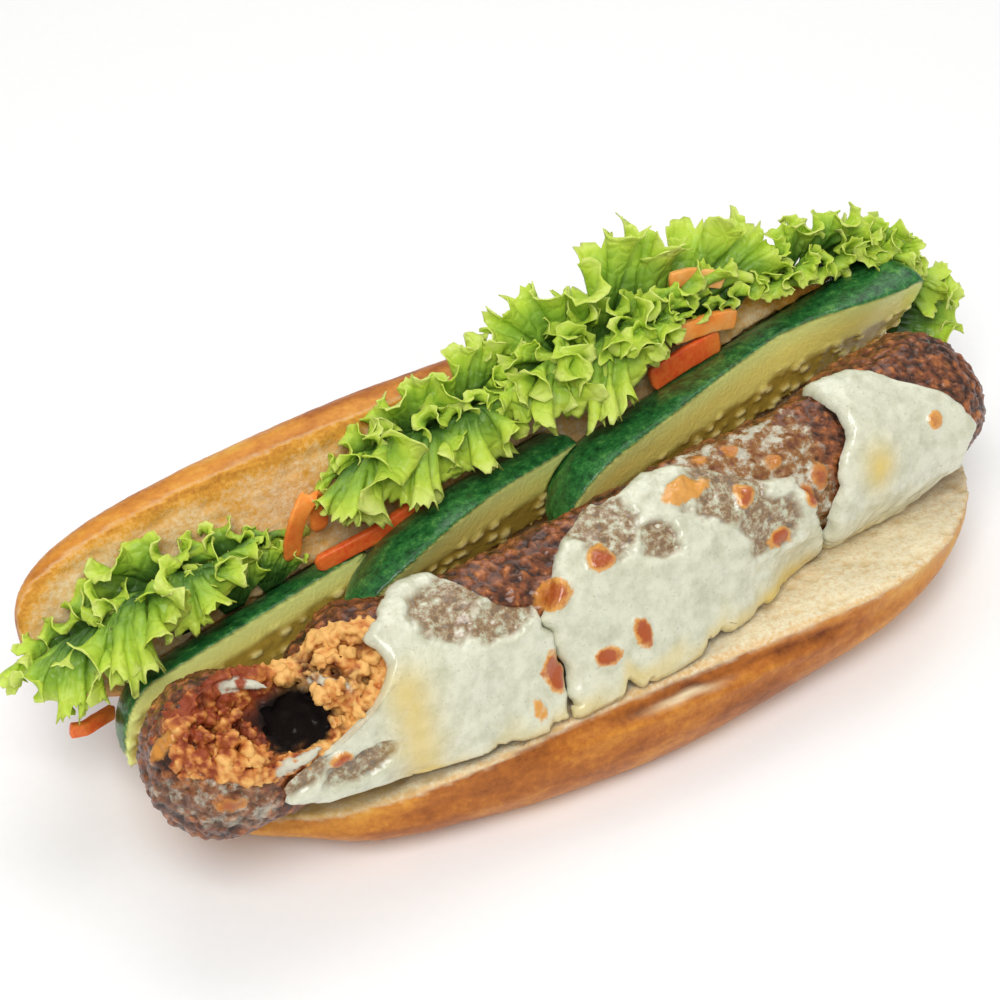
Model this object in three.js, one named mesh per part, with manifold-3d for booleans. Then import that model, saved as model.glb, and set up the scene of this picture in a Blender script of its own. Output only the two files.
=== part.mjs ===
// Banh mi sandwich: a split baguette roll, opened on its back crust, that holds a long roll of
// grilled minced meat under three slabs of melted cheese, three cucumber spears, frilly lettuce
// and strips of carrot. Millimetres, +Z up, +X along the roll, +Y towards the back half of the
// bread. The origin is on the flat foot of the bread, under the middle of the meat.
import * as THREE from "three";
import { mergeVertices } from "three/addons/utils/BufferGeometryUtils.js";
import Module from "manifold-3d";

const wasm = await Module();
wasm.setup();

// ---------------------------------------------------------------- driving dimensions
const GAP = 0.4; // clear space left between pieces that touch

const HINGE_Y = 27; // crease where the two halves stay joined
const HINGE_Z = 21;

// The front half, station by station from left to right. Its cut face runs from the rim to the
// hinge, and its crust swells below the rim, tucks under and lifts off the table at the ends.
const FRONT_STATIONS = [
  // x, rim y, rim z, widest y, widest z, underside z, back y
  [-117, 7, 19, 5.5, 16.5, 14, 16],
  [-112, -1, 18.5, -2.5, 15.5, 11, 25],
  [-104, -10, 19, -12, 15.5, 8.5, 32],
  [-90, -20.5, 21, -21.5, 15, 7, 37],
  [-76, -27, 23.5, -29, 14.5, 4, 40],
  [-48, -33, 28.5, -35, 14, 1, 42],
  [-18, -31.5, 30, -38, 14, -2, 44],
  [12, -31, 30, -38.5, 14, -1.5, 44],
  [45, -32, 30, -35.5, 15, 1.5, 43],
  [76, -31.5, 30, -32, 17, 5.5, 41],
  [92, -27, 29, -27, 18.5, 9, 38],
  [104, -21, 28, -20.5, 19, 11.5, 34],
  [116, -11, 26.5, -10.5, 19.5, 14, 26],
  [123.5, 1, 24.5, 1, 20.5, 17.5, 14],
];

const BACK_LENGTH = 256;
const BACK_CENTRE_X = -7;
const BACK_TILT = THREE.MathUtils.degToRad(60); // cut face of the back half above the horizontal
const BACK_WIDTH = 55;
const BACK_DEPTH = 27;
const BACK_BULGE = 1.16; // the crust swells past the cut rim by this share of its half width
const BACK_BLUNTNESS = 0.3; // a small number makes blunt ends

const MEAT_RADIUS = 20;
const MEAT_START = new THREE.Vector3(-105, -10.5, 44);
const MEAT_END = new THREE.Vector3(110.5, 12, 44);

const CUCUMBER_RADIUS = 18;
const CUCUMBER_FACE_ANGLE = THREE.MathUtils.degToRad(101); // the cut face stands almost upright
const CUCUMBER_BACK_ANGLE = THREE.MathUtils.degToRad(22);

const CHEESE_THICKNESS = 2.4;
const CHEESE_EDGE = 0.9;
const LEAF_THICKNESS = 0.9;

// ---------------------------------------------------------------- solids from rings and grids
const vector = (x, y, z) => new THREE.Vector3(x, y, z);
const mix = THREE.MathUtils.lerp;

function solidOf(geometry) {
  const bare = geometry.clone();
  for (const name of Object.keys(bare.attributes)) if (name !== "position") bare.deleteAttribute(name);
  const merged = mergeVertices(bare, 1e-3);
  return new wasm.Manifold(
    new wasm.Mesh({
      numProp: 3,
      vertProperties: merged.attributes.position.array,
      triVerts: new Uint32Array(merged.index.array),
    }),
  );
}

function geometryOf(solid) {
  const mesh = solid.getMesh();
  const geometry = new THREE.BufferGeometry();
  geometry.setAttribute("position", new THREE.BufferAttribute(mesh.vertProperties.slice(), 3));
  geometry.setIndex(new THREE.BufferAttribute(mesh.triVerts.slice(), 1));
  geometry.computeVertexNormals();
  return geometry;
}

function biggestPiece(solid) {
  return solid.decompose().reduce((best, piece) => (piece.volume() > best.volume() ? piece : best));
}

function geometryFrom(points, faces) {
  const geometry = new THREE.BufferGeometry().setFromPoints(points);
  geometry.setIndex(faces);
  return geometry;
}

// A closed skin over rings that all have the same number of points. The first and last rings are
// closed with a fan about their middle point.
function loftSolid(rings) {
  const count = rings[0].length;
  const points = rings.flat();
  const faces = [];
  for (let r = 0; r + 1 < rings.length; r++)
    for (let i = 0; i < count; i++) {
      const a = r * count + i;
      const b = r * count + ((i + 1) % count);
      faces.push(a, b, b + count, a, b + count, a + count);
    }
  for (const [ring, flip] of [[0, true], [rings.length - 1, false]]) {
    const middle = points.length;
    const centre = rings[ring].reduce((sum, p) => sum.add(p), vector(0, 0, 0)).divideScalar(count);
    points.push(centre);
    for (let i = 0; i < count; i++) {
      const a = ring * count + i;
      const b = ring * count + ((i + 1) % count);
      faces.push(...(flip ? [b, a, middle] : [a, b, middle]));
    }
  }
  const solid = solidOf(geometryFrom(points, faces));
  return solid.volume() < 0 ? solidOf(geometryFrom(points, flipped(faces))) : solid;
}

function flipped(faces) {
  const turned = [];
  for (let i = 0; i < faces.length; i += 3) turned.push(faces[i], faces[i + 2], faces[i + 1]);
  return turned;
}

// A thin solid between two faces over a grid of columns and rows, both split alike. face(u, v) gives
// { low, high }, the two points at that place.
function sheetSolid(columns, rows, face) {
  const points = [];
  const width = rows + 1;
  for (let i = 0; i <= columns; i++)
    for (let j = 0; j <= rows; j++) {
      const { low, high } = face(i / columns, j / rows);
      points.push(low, high);
    }
  const at = (i, j, side) => 2 * (i * width + j) + side;
  const faces = [];
  const quad = (a, b, c, d) => faces.push(a, b, c, a, c, d);
  for (let i = 0; i < columns; i++)
    for (let j = 0; j < rows; j++) {
      faces.push(at(i, j, 1), at(i + 1, j, 1), at(i + 1, j + 1, 1));
      faces.push(at(i, j, 1), at(i + 1, j + 1, 1), at(i, j + 1, 1));
      faces.push(at(i, j, 0), at(i + 1, j + 1, 0), at(i + 1, j, 0));
      faces.push(at(i, j, 0), at(i, j + 1, 0), at(i + 1, j + 1, 0));
    }
  for (let i = 0; i < columns; i++) {
    quad(at(i, 0, 0), at(i + 1, 0, 0), at(i + 1, 0, 1), at(i, 0, 1));
    quad(at(i + 1, rows, 0), at(i, rows, 0), at(i, rows, 1), at(i + 1, rows, 1));
  }
  for (let j = 0; j < rows; j++) {
    quad(at(0, j + 1, 0), at(0, j, 0), at(0, j, 1), at(0, j + 1, 1));
    quad(at(columns, j, 0), at(columns, j + 1, 0), at(columns, j + 1, 1), at(columns, j, 1));
  }
  const solid = solidOf(geometryFrom(points, faces));
  return solid.volume() < 0 ? solidOf(geometryFrom(points, flipped(faces))) : solid;
}

// ---------------------------------------------------------------- bread
function curveThrough(points) {
  return new THREE.CatmullRomCurve3(points.map((p) => vector(...p)), false, "centripetal");
}

function frontHalf() {
  const rail = (point) => curveThrough(FRONT_STATIONS.map(point));
  const rails = [
    rail(([x, rimY, rimZ]) => [x, rimY, rimZ]),
    rail(([x, , rimZ, wideY, wideZ]) => [x, wideY + 0.8, mix(rimZ, wideZ, 0.45)]),
    rail(([x, , , wideY, wideZ]) => [x, wideY, wideZ]),
    rail(([x, , , wideY, wideZ, underZ, backY]) => [x, mix(wideY, backY, 0.07), mix(wideZ, underZ, 0.72)]),
    rail(([x, , , wideY, , underZ, backY]) => [x, mix(wideY, backY, 0.25), underZ]),
    rail(([x, , , wideY, , underZ, backY]) => [x, mix(wideY, backY, 0.75), underZ]),
    rail(([x, , , wideY, wideZ, underZ, backY]) => [x, mix(wideY, backY, 0.94), mix(wideZ, underZ, 0.6)]),
    rail(([x, , , , wideZ, , backY]) => [x, backY, wideZ - 1]),
    rail(([x, rimY, rimZ, , , , backY]) => [x, Math.min(HINGE_Y + 3, mix(rimY, backY, 0.8)), Math.min(HINGE_Z, rimZ)]),
  ];
  const stations = 22;
  const ringSize = 18;
  const rings = [];
  for (let k = 0; k <= stations; k++) {
    const section = new THREE.CatmullRomCurve3(rails.map((r) => r.getPoint(k / stations)), false, "centripetal");
    rings.push(section.getPoints(ringSize - 1));
  }
  return loftSolid(rings);
}

// The back half leans open behind the filling: a flat cut face with a crust dome behind it.
function backHalf() {
  const bulgeAngle = Math.acos(1 / BACK_BULGE);
  const stations = 20;
  const ringSize = 20;
  const rings = [];
  for (let k = 0; k <= stations; k++) {
    const u = Math.sin((Math.PI / 2) * ((2 * k) / stations - 1) * 0.985);
    const scale = Math.pow(1 - u * u, BACK_BLUNTNESS);
    const equator = BACK_DEPTH * 0.3 * scale;
    const ring = [];
    for (let i = 0; i < ringSize; i++) {
      const angle = mix(-bulgeAngle, Math.PI + bulgeAngle, i / (ringSize - 1));
      const reach = Math.sin(angle) < 0 ? equator / Math.sin(bulgeAngle) : BACK_DEPTH * scale - equator;
      const across = (BACK_WIDTH / 2) * (1 + BACK_BULGE * scale * Math.cos(angle));
      const deep = equator + reach * Math.sin(angle);
      ring.push(vector(
        (BACK_LENGTH / 2) * u + BACK_CENTRE_X,
        HINGE_Y + across * Math.cos(BACK_TILT) + deep * Math.sin(BACK_TILT),
        HINGE_Z + across * Math.sin(BACK_TILT) - deep * Math.cos(BACK_TILT),
      ));
    }
    rings.push(ring);
  }
  return loftSolid(rings);
}

function breadSolid() {
  const above = new THREE.BoxGeometry(400, 400, 200).translate(0, 0, 100);
  return frontHalf().add(backHalf()).intersect(solidOf(above));
}

// ---------------------------------------------------------------- meat
const MEAT_LENGTH = MEAT_START.distanceTo(MEAT_END);
const MEAT_DIRECTION = MEAT_END.clone().sub(MEAT_START).normalize();
const MEAT_SIDE = vector(-MEAT_DIRECTION.y, MEAT_DIRECTION.x, 0); // level, towards the back

// A point at a distance along the roll's axis, an angle from straight up towards the front, and a
// distance from the axis.
function roundMeat(along, angle, radius) {
  return MEAT_START.clone()
    .addScaledVector(MEAT_DIRECTION, along)
    .addScaledVector(MEAT_SIDE, -radius * Math.sin(angle))
    .add(vector(0, 0, radius * Math.cos(angle)));
}

// The hand-shaped roll is a little thicker and thinner along its length.
function meatRadius(along, angle) {
  const lengthwise = 0.5 * Math.sin(along / 19 + 0.6) + 0.35 * Math.sin(along / 9.5 + 2 * Math.sin(angle));
  return MEAT_RADIUS - 0.4 + lengthwise + 0.3 * Math.sin(3 * angle + along / 13);
}

function meatBody(grow) {
  const rings = [];
  const sides = 20;
  const add = (along, scale) => {
    const ring = [];
    for (let i = 0; i < sides; i++) {
      const angle = (i / sides) * 2 * Math.PI;
      ring.push(roundMeat(along, angle, (meatRadius(along, angle) + grow) * scale));
    }
    rings.push(ring);
  };
  const capSteps = 4;
  const reach = MEAT_RADIUS + grow;
  for (let k = 0; k < capSteps; k++) {
    const turn = (Math.PI / 2) * (1 - (k + 0.35) / capSteps);
    add(-reach * Math.sin(turn) * 0.96, Math.cos(turn));
  }
  const steps = 17;
  for (let k = 0; k <= steps; k++) add((MEAT_LENGTH * k) / steps, 1);
  for (let k = capSteps - 1; k >= 0; k--) {
    const turn = (Math.PI / 2) * (1 - (k + 0.35) / capSteps);
    add(MEAT_LENGTH + reach * Math.sin(turn) * 0.96, Math.cos(turn));
  }
  return loftSolid(rings);
}

// A lump with flat sides, squashed along its height.
function lump(centre, size, turn) {
  const shape = new THREE.IcosahedronGeometry(size, 0);
  shape.scale(1.15, 0.95, 0.8);
  shape.rotateZ(turn);
  shape.rotateX(turn * 0.7);
  shape.translate(centre.x, centre.y, centre.z);
  return solidOf(shape);
}

// The left end is torn open towards the front: a ragged bowl with a deep pocket, and crumbs of
// mince that stand round the pocket. Each crumb is given along the axis, by its angle, its distance
// from the axis and its size.
const TEAR = { along: 13, angle: 0.45, length: 62, width: 31, depth: 14 };
const POCKET = { along: 11, angle: 0.7, radius: 9, width: 19 };
const CRUMBS = [
  [23, -0.1, 15.5, 4.4], [31, -0.05, 15.5, 4.4], [26, 0.35, 14.5, 5], [34, 0.45, 15, 4.6],
  [29, 0.8, 15, 4.8], [36, 0.95, 14.5, 4.4], [24, 0.1, 12, 4.6], [21, 1.0, 15.5, 3.4],
  [-14, -0.1, 15, 4], [-7, -0.3, 16.5, 4.4], [1, -0.4, 16.5, 4.2], [-8, 0.25, 13.5, 4.2],
  [-6, 0.75, 14.5, 4.4], [1, 0.95, 15.5, 4.2], [-12, 0.6, 15.5, 3.6], [1, 0.5, 10.5, 4],
];

function meatSolid() {
  const bowl = new THREE.SphereGeometry(0.5, 12, 8);
  bowl.scale(TEAR.length, TEAR.width, TEAR.depth * 2);
  bowl.rotateX(TEAR.angle);
  bowl.rotateZ(Math.atan2(MEAT_DIRECTION.y, MEAT_DIRECTION.x));
  bowl.translate(...roundMeat(TEAR.along, TEAR.angle, MEAT_RADIUS + 1).toArray());
  const pocket = new THREE.SphereGeometry(0.5, 10, 7);
  pocket.scale(POCKET.width, POCKET.width * 0.8, POCKET.width * 1.1);
  pocket.rotateX(POCKET.angle);
  pocket.translate(...roundMeat(POCKET.along, POCKET.angle, POCKET.radius).toArray());
  let solid = meatBody(0).subtract(solidOf(bowl)).subtract(solidOf(pocket));
  CRUMBS.forEach(([along, angle, radius, size], i) => {
    solid = solid.add(lump(roundMeat(along, angle, radius), size, i * 1.3));
  });
  return biggestPiece(solid);
}

// ---------------------------------------------------------------- cheese
// Each slab hangs over the roll from an upper edge near the top of the meat, leaves it on its front
// and spreads down to the cut face of the bread. The tables run from the left side to the right:
// the angle of the upper edge, the angle where the slab leaves the meat and how far sideways from
// the axis its lower edge lies. left and right give the two sides, from the upper to the lower edge.
const CHEESE_SLABS = [
  {
    name: "cheese_left",
    left: [38, 40.5, 30, 5, 14, 42], right: [79.5, 79.8, 80, 81.6, 82.4, 80.5],
    upper: [0.2, -0.1, -0.36, -0.2, 0.5, 0.75], leave: [1.62, 1.35, 1.2, 1.2], reach: [23, 28, 31],
  },
  {
    name: "cheese_middle",
    left: [81, 81.2, 82.4, 83.4, 81.6], right: [160, 164, 167, 169, 167],
    upper: [0.95, 0.3, -0.02, -0.1, -0.15, 0.1, 0.5, 0.75], leave: [1.2, 1.15, 1.2, 1.4, 1.85],
    reach: [31, 31.5, 31.5, 28.5, 24, 15.5],
  },
  {
    name: "cheese_right",
    left: [179, 182, 176, 169.5, 170.5, 172], right: [200, 212, 220, 216, 208, 201],
    upper: [-0.26, -0.22, -0.16, 0.1], leave: [1.9, 1.9], reach: [14.5, 14.5],
  },
];

const smoothAt = (values, t) => new THREE.SplineCurve(values.map((v, i) => new THREE.Vector2(i, v))).getPoint(t).y;
const faceHeight = (y) => HINGE_Z + ((30 - HINGE_Z) / (HINGE_Y + 32)) * (HINGE_Y - y);

function cheeseSolid(slab) {
  const drape = (u, v) => {
    const along = mix(smoothAt(slab.left, v), smoothAt(slab.right, v), u);
    const upper = smoothAt(slab.upper, u);
    const leave = smoothAt(slab.leave, u);
    const overEnd = Math.max(0, along - MEAT_LENGTH);
    const radiusAt = (angle) =>
      meatRadius(along, angle) * Math.sqrt(1 - Math.min(0.9, (overEnd / MEAT_RADIUS) ** 2)) + GAP + 0.3;
    const onMeat = 0.68;
    if (v <= onMeat) {
      const angle = mix(upper, leave, v / onMeat);
      return roundMeat(along, angle, radiusAt(angle));
    }
    const from = roundMeat(along, leave, radiusAt(leave));
    const reach = smoothAt(slab.reach, u);
    const edge = roundMeat(along, Math.PI / 2, reach);
    edge.z = faceHeight(edge.y) + GAP + 0.6;
    const fall = roundMeat(along, leave + 0.1, radiusAt(leave)).sub(from).normalize();
    const bend = from.clone().addScaledVector(fall, 0.55 * (from.z - edge.z));
    const w = (v - onMeat) / (1 - onMeat);
    return new THREE.QuadraticBezierCurve3(from, bend, edge).getPoint(w);
  };
  const face = (u, v) => {
    const low = drape(u, v);
    const across = drape(u, Math.min(1, v + 0.01)).sub(drape(u, Math.max(0, v - 0.01)));
    const outward = across.cross(MEAT_DIRECTION).normalize();
    const body = Math.sqrt(Math.min(1, 5 * Math.min(u, 1 - u), 4 * Math.min(v, 1 - v)));
    const thick = CHEESE_EDGE + (CHEESE_THICKNESS - CHEESE_EDGE) * body;
    return { low, high: low.clone().addScaledVector(outward, thick) };
  };
  return sheetSolid(12, 13, face);
}

// ---------------------------------------------------------------- cucumber
// Each spear is a wedge of a cucumber: two cut faces that meet on its axis, skin outside, and a
// domed end. Its axis runs from near to far.
const CUCUMBERS = [
  { name: "cucumber_left", near: vector(-121, 17, 27), far: vector(-40, 31, 34), nearDome: 15, farDome: 6 },
  { name: "cucumber_middle", near: vector(-60, 16, 44), far: vector(20, 35, 42), nearDome: 42, farDome: 6 },
  { name: "cucumber_right", near: vector(1, 17, 45), far: vector(125, 44.5, 50), nearDome: 26, farDome: 16 },
];

function cucumberSolid({ near, far, nearDome, farDome }, grow) {
  const axis = far.clone().sub(near);
  const length = axis.length();
  axis.normalize();
  const back = vector(-axis.y, axis.x, 0).normalize();
  const up = axis.clone().cross(back).normalize();
  const place = (centre, distance, angle) => centre.clone()
    .addScaledVector(back, distance * Math.cos(angle))
    .addScaledVector(up, distance * Math.sin(angle));
  const stations = [0.02, 0.25, 0.6, 1].map((k) => k * nearDome)
    .concat([0.25, 0.5, 0.75].map((k) => mix(nearDome, length - farDome, k)))
    .concat([1, 0.6, 0.25, 0.02].map((k) => length - k * farDome));
  const arcSteps = 7;
  const bisector = (CUCUMBER_FACE_ANGLE + CUCUMBER_BACK_ANGLE) / 2;
  const rings = stations.map((s) => {
    const domeShare = Math.min(1, s / nearDome, (length - s) / farDome);
    const radius = CUCUMBER_RADIUS * Math.sqrt(1 - Math.pow(1 - domeShare, 2)) + 2.6 * grow;
    const along = s + grow * Math.sign(s - length / 2);
    const core = place(near.clone().addScaledVector(axis, along), -1.6 * grow, bisector);
    const ring = [place(core, -0.5, bisector)];
    for (let i = 0; i <= arcSteps; i++)
      ring.push(place(core, radius, mix(CUCUMBER_FACE_ANGLE, CUCUMBER_BACK_ANGLE, i / arcSteps)));
    return ring;
  });
  return loftSolid(rings);
}

// ---------------------------------------------------------------- lettuce
// A leaf is stretched between its hidden base against the bread, its crest and its frilly margin.
// A base point given by x and z alone lies in front of the back half's cut face by the leaf's
// clearance. The ruffle grows from nothing at the base to its full depth at the margin.
const LEAVES = [
  {
    name: "lettuce_left_back", clearance: 1.8, base: [[-122, 41], [-104, 44], [-86, 47], [-68, 49]],
    crest: [[-136, 37, 46], [-112, 42, 53], [-88, 44, 56], [-64, 44, 55]],
    margin: [[-137, 33, 42], [-127, 40, 53], [-112, 44, 62], [-93, 44, 62], [-76, 43, 59], [-63, 40, 52]],
    ruffle: 3, waves: 5, phase: 0.3, columns: 26, rows: 5,
  },
  {
    name: "lettuce_left_front", clearance: 6, base: [[-120, 47], [-108, 49], [-96, 51], [-82, 52]],
    crest: [[-139, 29, 54], [-120, 32, 62], [-102, 34, 63], [-86, 36, 59]],
    margin: [[-137, 22, 42], [-129, 16, 43], [-119, 19, 50], [-108, 24, 54], [-96, 28, 55], [-86, 32, 55]],
    ruffle: 2.4, waves: 5, phase: 1.6, columns: 24, rows: 5,
  },
  {
    name: "lettuce_middle_back", clearance: 1.8, base: [[-47, 57], [-30, 58], [-14, 59], [6, 60]],
    crest: [[-50, 46, 61], [-34, 49, 66], [-16, 50, 69], [7, 50, 70]],
    margin: [[-50, 44, 59], [-44, 49, 68], [-33, 54, 75], [-18, 55, 78], [-6, 54, 77], [7, 53, 76]],
    ruffle: 2.8, waves: 4.5, phase: 0.9, columns: 22, rows: 5,
  },
  {
    name: "lettuce_middle_front", clearance: 6.5, base: [[-44, 63], [-30, 64], [-16, 65], [-4, 66]],
    crest: [[-54, 37, 68], [-34, 40, 74], [-18, 42, 76], [-2, 43, 76]],
    margin: [[-56, 31, 62], [-51, 27, 60], [-45, 25, 60], [-36, 25, 62.5], [-24, 28, 64], [-12, 32, 64.5], [-4, 34, 67]],
    ruffle: 2.4, waves: 4.5, phase: 2.4, columns: 22, rows: 5,
  },
  {
    name: "lettuce_upper_back", clearance: 1.8, base: [[12, 59], [28, 60], [48, 61], [76, 62]],
    crest: [[9, 52, 73], [26, 54, 77], [50, 55, 79], [82, 54, 76]],
    margin: [[5, 55, 80], [12, 58, 86], [25, 59, 88], [42, 62, 95], [60, 61, 93], [76, 59, 87], [86, 57, 80]],
    ruffle: 3.4, waves: 5.5, phase: 0.2, columns: 28, rows: 6,
  },
  {
    name: "lettuce_upper_front", clearance: 6.5, base: [[8, 65], [22, 66], [36, 67], [50, 67]],
    crest: [[2, 43, 78], [20, 44, 82], [38, 44, 84], [54, 45, 82]],
    margin: [[-2, 39, 73], [6, 32, 68.5], [14, 28, 67], [24, 28, 68], [34, 30.5, 69], [44, 35, 72], [50, 40, 76]],
    ruffle: 2.6, waves: 5, phase: 3.2, columns: 24, rows: 5,
  },
  {
    name: "lettuce_right_back", clearance: 1.8, base: [[86, 49.5, 63.2], [94, 50.6, 64.2], [103, 52.6, 64.8], [111, 55, 63], [119, 57, 59]],
    crest: [[88, 53, 74], [102, 55, 76], [118, 56, 72], [132, 53, 63]],
    margin: [[87, 56, 79], [96, 59, 82], [108, 58, 79], [121, 55, 74], [132, 52, 68], [137, 49, 62]],
    ruffle: 2.8, waves: 4.5, phase: 1.1, columns: 24, rows: 5,
  },
  {
    name: "lettuce_right_end", clearance: 0,
    base: [[127, 50, 58], [128, 48.5, 51], [128, 46, 44], [127, 42.5, 37]],
    crest: [[131, 49, 60], [136, 45, 53], [137, 41, 45], [132, 38, 38]],
    margin: [[134, 50, 61], [141, 46, 56], [147, 41, 50], [147, 36, 42], [139, 34, 37], [130, 35, 35]],
    ruffle: 2.2, waves: 3.5, phase: 0.4, columns: 18, rows: 4,
  },
];

function leafSolid(leaf) {
  const onBread = ([x, z]) => [x, HINGE_Y + (z - HINGE_Z) / Math.tan(BACK_TILT) - leaf.clearance, z];
  const placed = leaf.base.map((point) => (point.length === 3 ? point : onBread(point)));
  const [base, crest, margin] = [placed, leaf.crest, leaf.margin].map(curveThrough);
  const smooth = (u, v) => {
    const [a, b, c] = [base.getPoint(u), crest.getPoint(u), margin.getPoint(u)];
    return a.multiplyScalar((1 - v) ** 2).addScaledVector(b, 2 * v * (1 - v)).addScaledVector(c, v * v);
  };
  const step = 0.01;
  const within = (t) => Math.min(1 - step, Math.max(step, t));
  const face = (u, v) => {
    const [iu, iv] = [within(u), within(v)];
    const alongU = smooth(iu + step, iv).sub(smooth(iu - step, iv)).normalize();
    const alongV = smooth(iu, iv + step).sub(smooth(iu, iv - step)).normalize();
    const normal = alongU.clone().cross(alongV).normalize();
    const depth = leaf.ruffle * Math.pow(v, 1.6);
    const turn = 2 * Math.PI * leaf.waves * u + leaf.phase + 0.9 * Math.sin(2 * Math.PI * 1.7 * u + leaf.phase);
    const middle = smooth(u, v)
      .addScaledVector(normal, depth * Math.sin(turn))
      .addScaledVector(alongU, 0.45 * depth * Math.sin(2 * turn))
      .addScaledVector(alongV, 0.5 * depth * Math.cos(1.6 * turn + 1));
    const half = (LEAF_THICKNESS / 2) * mix(1.1, 0.9, v);
    return {
      low: middle.clone().addScaledVector(normal, -half),
      high: middle.clone().addScaledVector(normal, half),
    };
  };
  return sheetSolid(leaf.columns, leaf.rows, face);
}

// ---------------------------------------------------------------- carrot strips
const CARROTS = [
  {
    name: "carrot_loop", width: 5.4, thick: 1.6,
    path: [[-60, 40, 53], [-61, 38, 58.5], [-58, 38, 63], [-53, 40, 61], [-51.5, 42, 56]],
  },
  {
    name: "carrot_long", width: 4.6, thick: 2.4,
    path: [[-57, 34.5, 52], [-49, 36.3, 53.2], [-38, 39.2, 54], [-27, 42.2, 54.8]],
  },
  {
    name: "carrot_upper", width: 5.6, thick: 2.2,
    path: [[52, 45, 72.5], [57, 44.5, 72.3], [63, 45, 71.8], [70, 45.5, 70]],
  },
  {
    name: "carrot_lower", width: 7, thick: 2,
    path: [[42, 40.7, 63.2], [50, 42, 64.6], [58, 43.2, 65.4], [66, 44.6, 65.5]],
  },
  {
    name: "carrot_top", width: 5, thick: 2,
    path: [[54, 51, 81], [60, 51, 80.5], [65, 50, 79], [70, 49, 77]],
  },
  {
    name: "carrot_end", width: 3.8, thick: 2.2,
    path: [[-132, 22, 32], [-128.5, 22, 31], [-124.5, 24, 29.5], [-119, 28, 26]],
  },
];

function carrotSolid({ width, thick, path }) {
  const section = new THREE.Shape([
    new THREE.Vector2(-thick / 2, -width / 2), new THREE.Vector2(thick / 2, -width / 2),
    new THREE.Vector2(thick / 2, width / 2), new THREE.Vector2(-thick / 2, width / 2),
  ]);
  const options = { steps: 9, bevelEnabled: false, extrudePath: curveThrough(path) };
  return solidOf(new THREE.ExtrudeGeometry(section, options));
}

// ---------------------------------------------------------------- the sandwich
const COLOURS = {
  bread: [0xd9902f, 0.7], meat: [0x5e3220, 0.55], cheese: [0xe6e8d2, 0.35],
  cucumber: [0x2f6b35, 0.35], lettuce: [0x8fbf3a, 0.5], carrot: [0xe8752a, 0.4],
};

const sandwich = new THREE.Group();

function addPiece(name, kind, solid) {
  const [color, roughness] = COLOURS[kind];
  const material = new THREE.MeshStandardMaterial({ color, roughness, metalness: 0 });
  const mesh = new THREE.Mesh(geometryOf(solid), material);
  mesh.name = name;
  sandwich.add(mesh);
}

const meatSpace = meatBody(GAP);
const cheeses = CHEESE_SLABS.map((slab) => ({ name: slab.name, solid: cheeseSolid(slab) }));
const spears = [];
for (const cucumber of [...CUCUMBERS].reverse()) {
  let solid = cucumberSolid(cucumber, 0).subtract(meatSpace);
  for (const other of spears) solid = solid.subtract(other.space);
  spears.push({ name: cucumber.name, solid: biggestPiece(solid), space: cucumberSolid(cucumber, GAP) });
}
let bread = breadSolid().subtract(meatSpace);
for (const spear of spears) bread = bread.subtract(spear.space);

addPiece("bread", "bread", biggestPiece(bread));
addPiece("meat_roll", "meat", meatSolid());
for (const { name, solid } of cheeses) addPiece(name, "cheese", solid);
for (const { name, solid } of spears) addPiece(name, "cucumber", solid);
for (const leaf of LEAVES) addPiece(leaf.name, "lettuce", leafSolid(leaf));
for (const carrot of CARROTS) addPiece(carrot.name, "carrot", carrotSolid(carrot));

export default sandwich;
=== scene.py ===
"""Banh mi sandwich: a split baguette roll with a long roll of grilled mince under melted cheese,
three cucumber spears, frilly lettuce and strips of carrot. Lengths are in millimetres until a
mesh is made, and Blender's units are metres."""

import logging
import math
from dataclasses import dataclass, field
from enum import Enum

import bpy
import numpy as np
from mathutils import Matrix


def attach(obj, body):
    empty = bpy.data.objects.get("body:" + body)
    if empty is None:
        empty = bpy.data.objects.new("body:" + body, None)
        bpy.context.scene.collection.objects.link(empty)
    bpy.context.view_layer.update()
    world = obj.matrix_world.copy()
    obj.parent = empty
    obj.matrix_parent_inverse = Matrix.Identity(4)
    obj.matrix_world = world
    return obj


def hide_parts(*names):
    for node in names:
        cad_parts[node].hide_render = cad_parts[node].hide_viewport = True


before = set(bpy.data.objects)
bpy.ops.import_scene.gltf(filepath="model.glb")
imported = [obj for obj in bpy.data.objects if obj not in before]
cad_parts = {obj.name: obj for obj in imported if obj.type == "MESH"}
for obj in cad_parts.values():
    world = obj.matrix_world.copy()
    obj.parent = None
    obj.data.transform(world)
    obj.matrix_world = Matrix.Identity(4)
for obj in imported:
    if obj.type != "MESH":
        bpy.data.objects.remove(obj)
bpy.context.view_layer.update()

import openvdb as vdb
from mathutils import Vector

Array = np.ndarray
LOG = logging.getLogger("banh_mi")
MM = 0.001

HINGE_Y, HINGE_Z = 27.0, 21.0  # crease where the two halves of the bread stay joined
BACK_TILT = math.radians(60)  # angle of the back half's cut face above the level
GAP = 0.4  # clear space between pieces that touch
FLAT_RADIUS = 30.0  # past this distance from the axis, a spot keeps its angle and widens no more
ROW_SPACING = 0.85  # below 1, a leaf's rows crowd towards its margin


class Slot(Enum):
    """The material slots of the record."""

    BREAD = "bread"
    MEAT = "meat"
    CHEESE = "cheese"
    CUCUMBER = "cucumber"
    LETTUCE = "lettuce"
    CARROT = "carrot"


# ---------------------------------------------------------------- numbers and curves
def mix(low: Array, high: Array, share: Array) -> Array:
    """Returns the value that lies a share of the way from low to high."""
    return low + (high - low) * share


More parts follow.
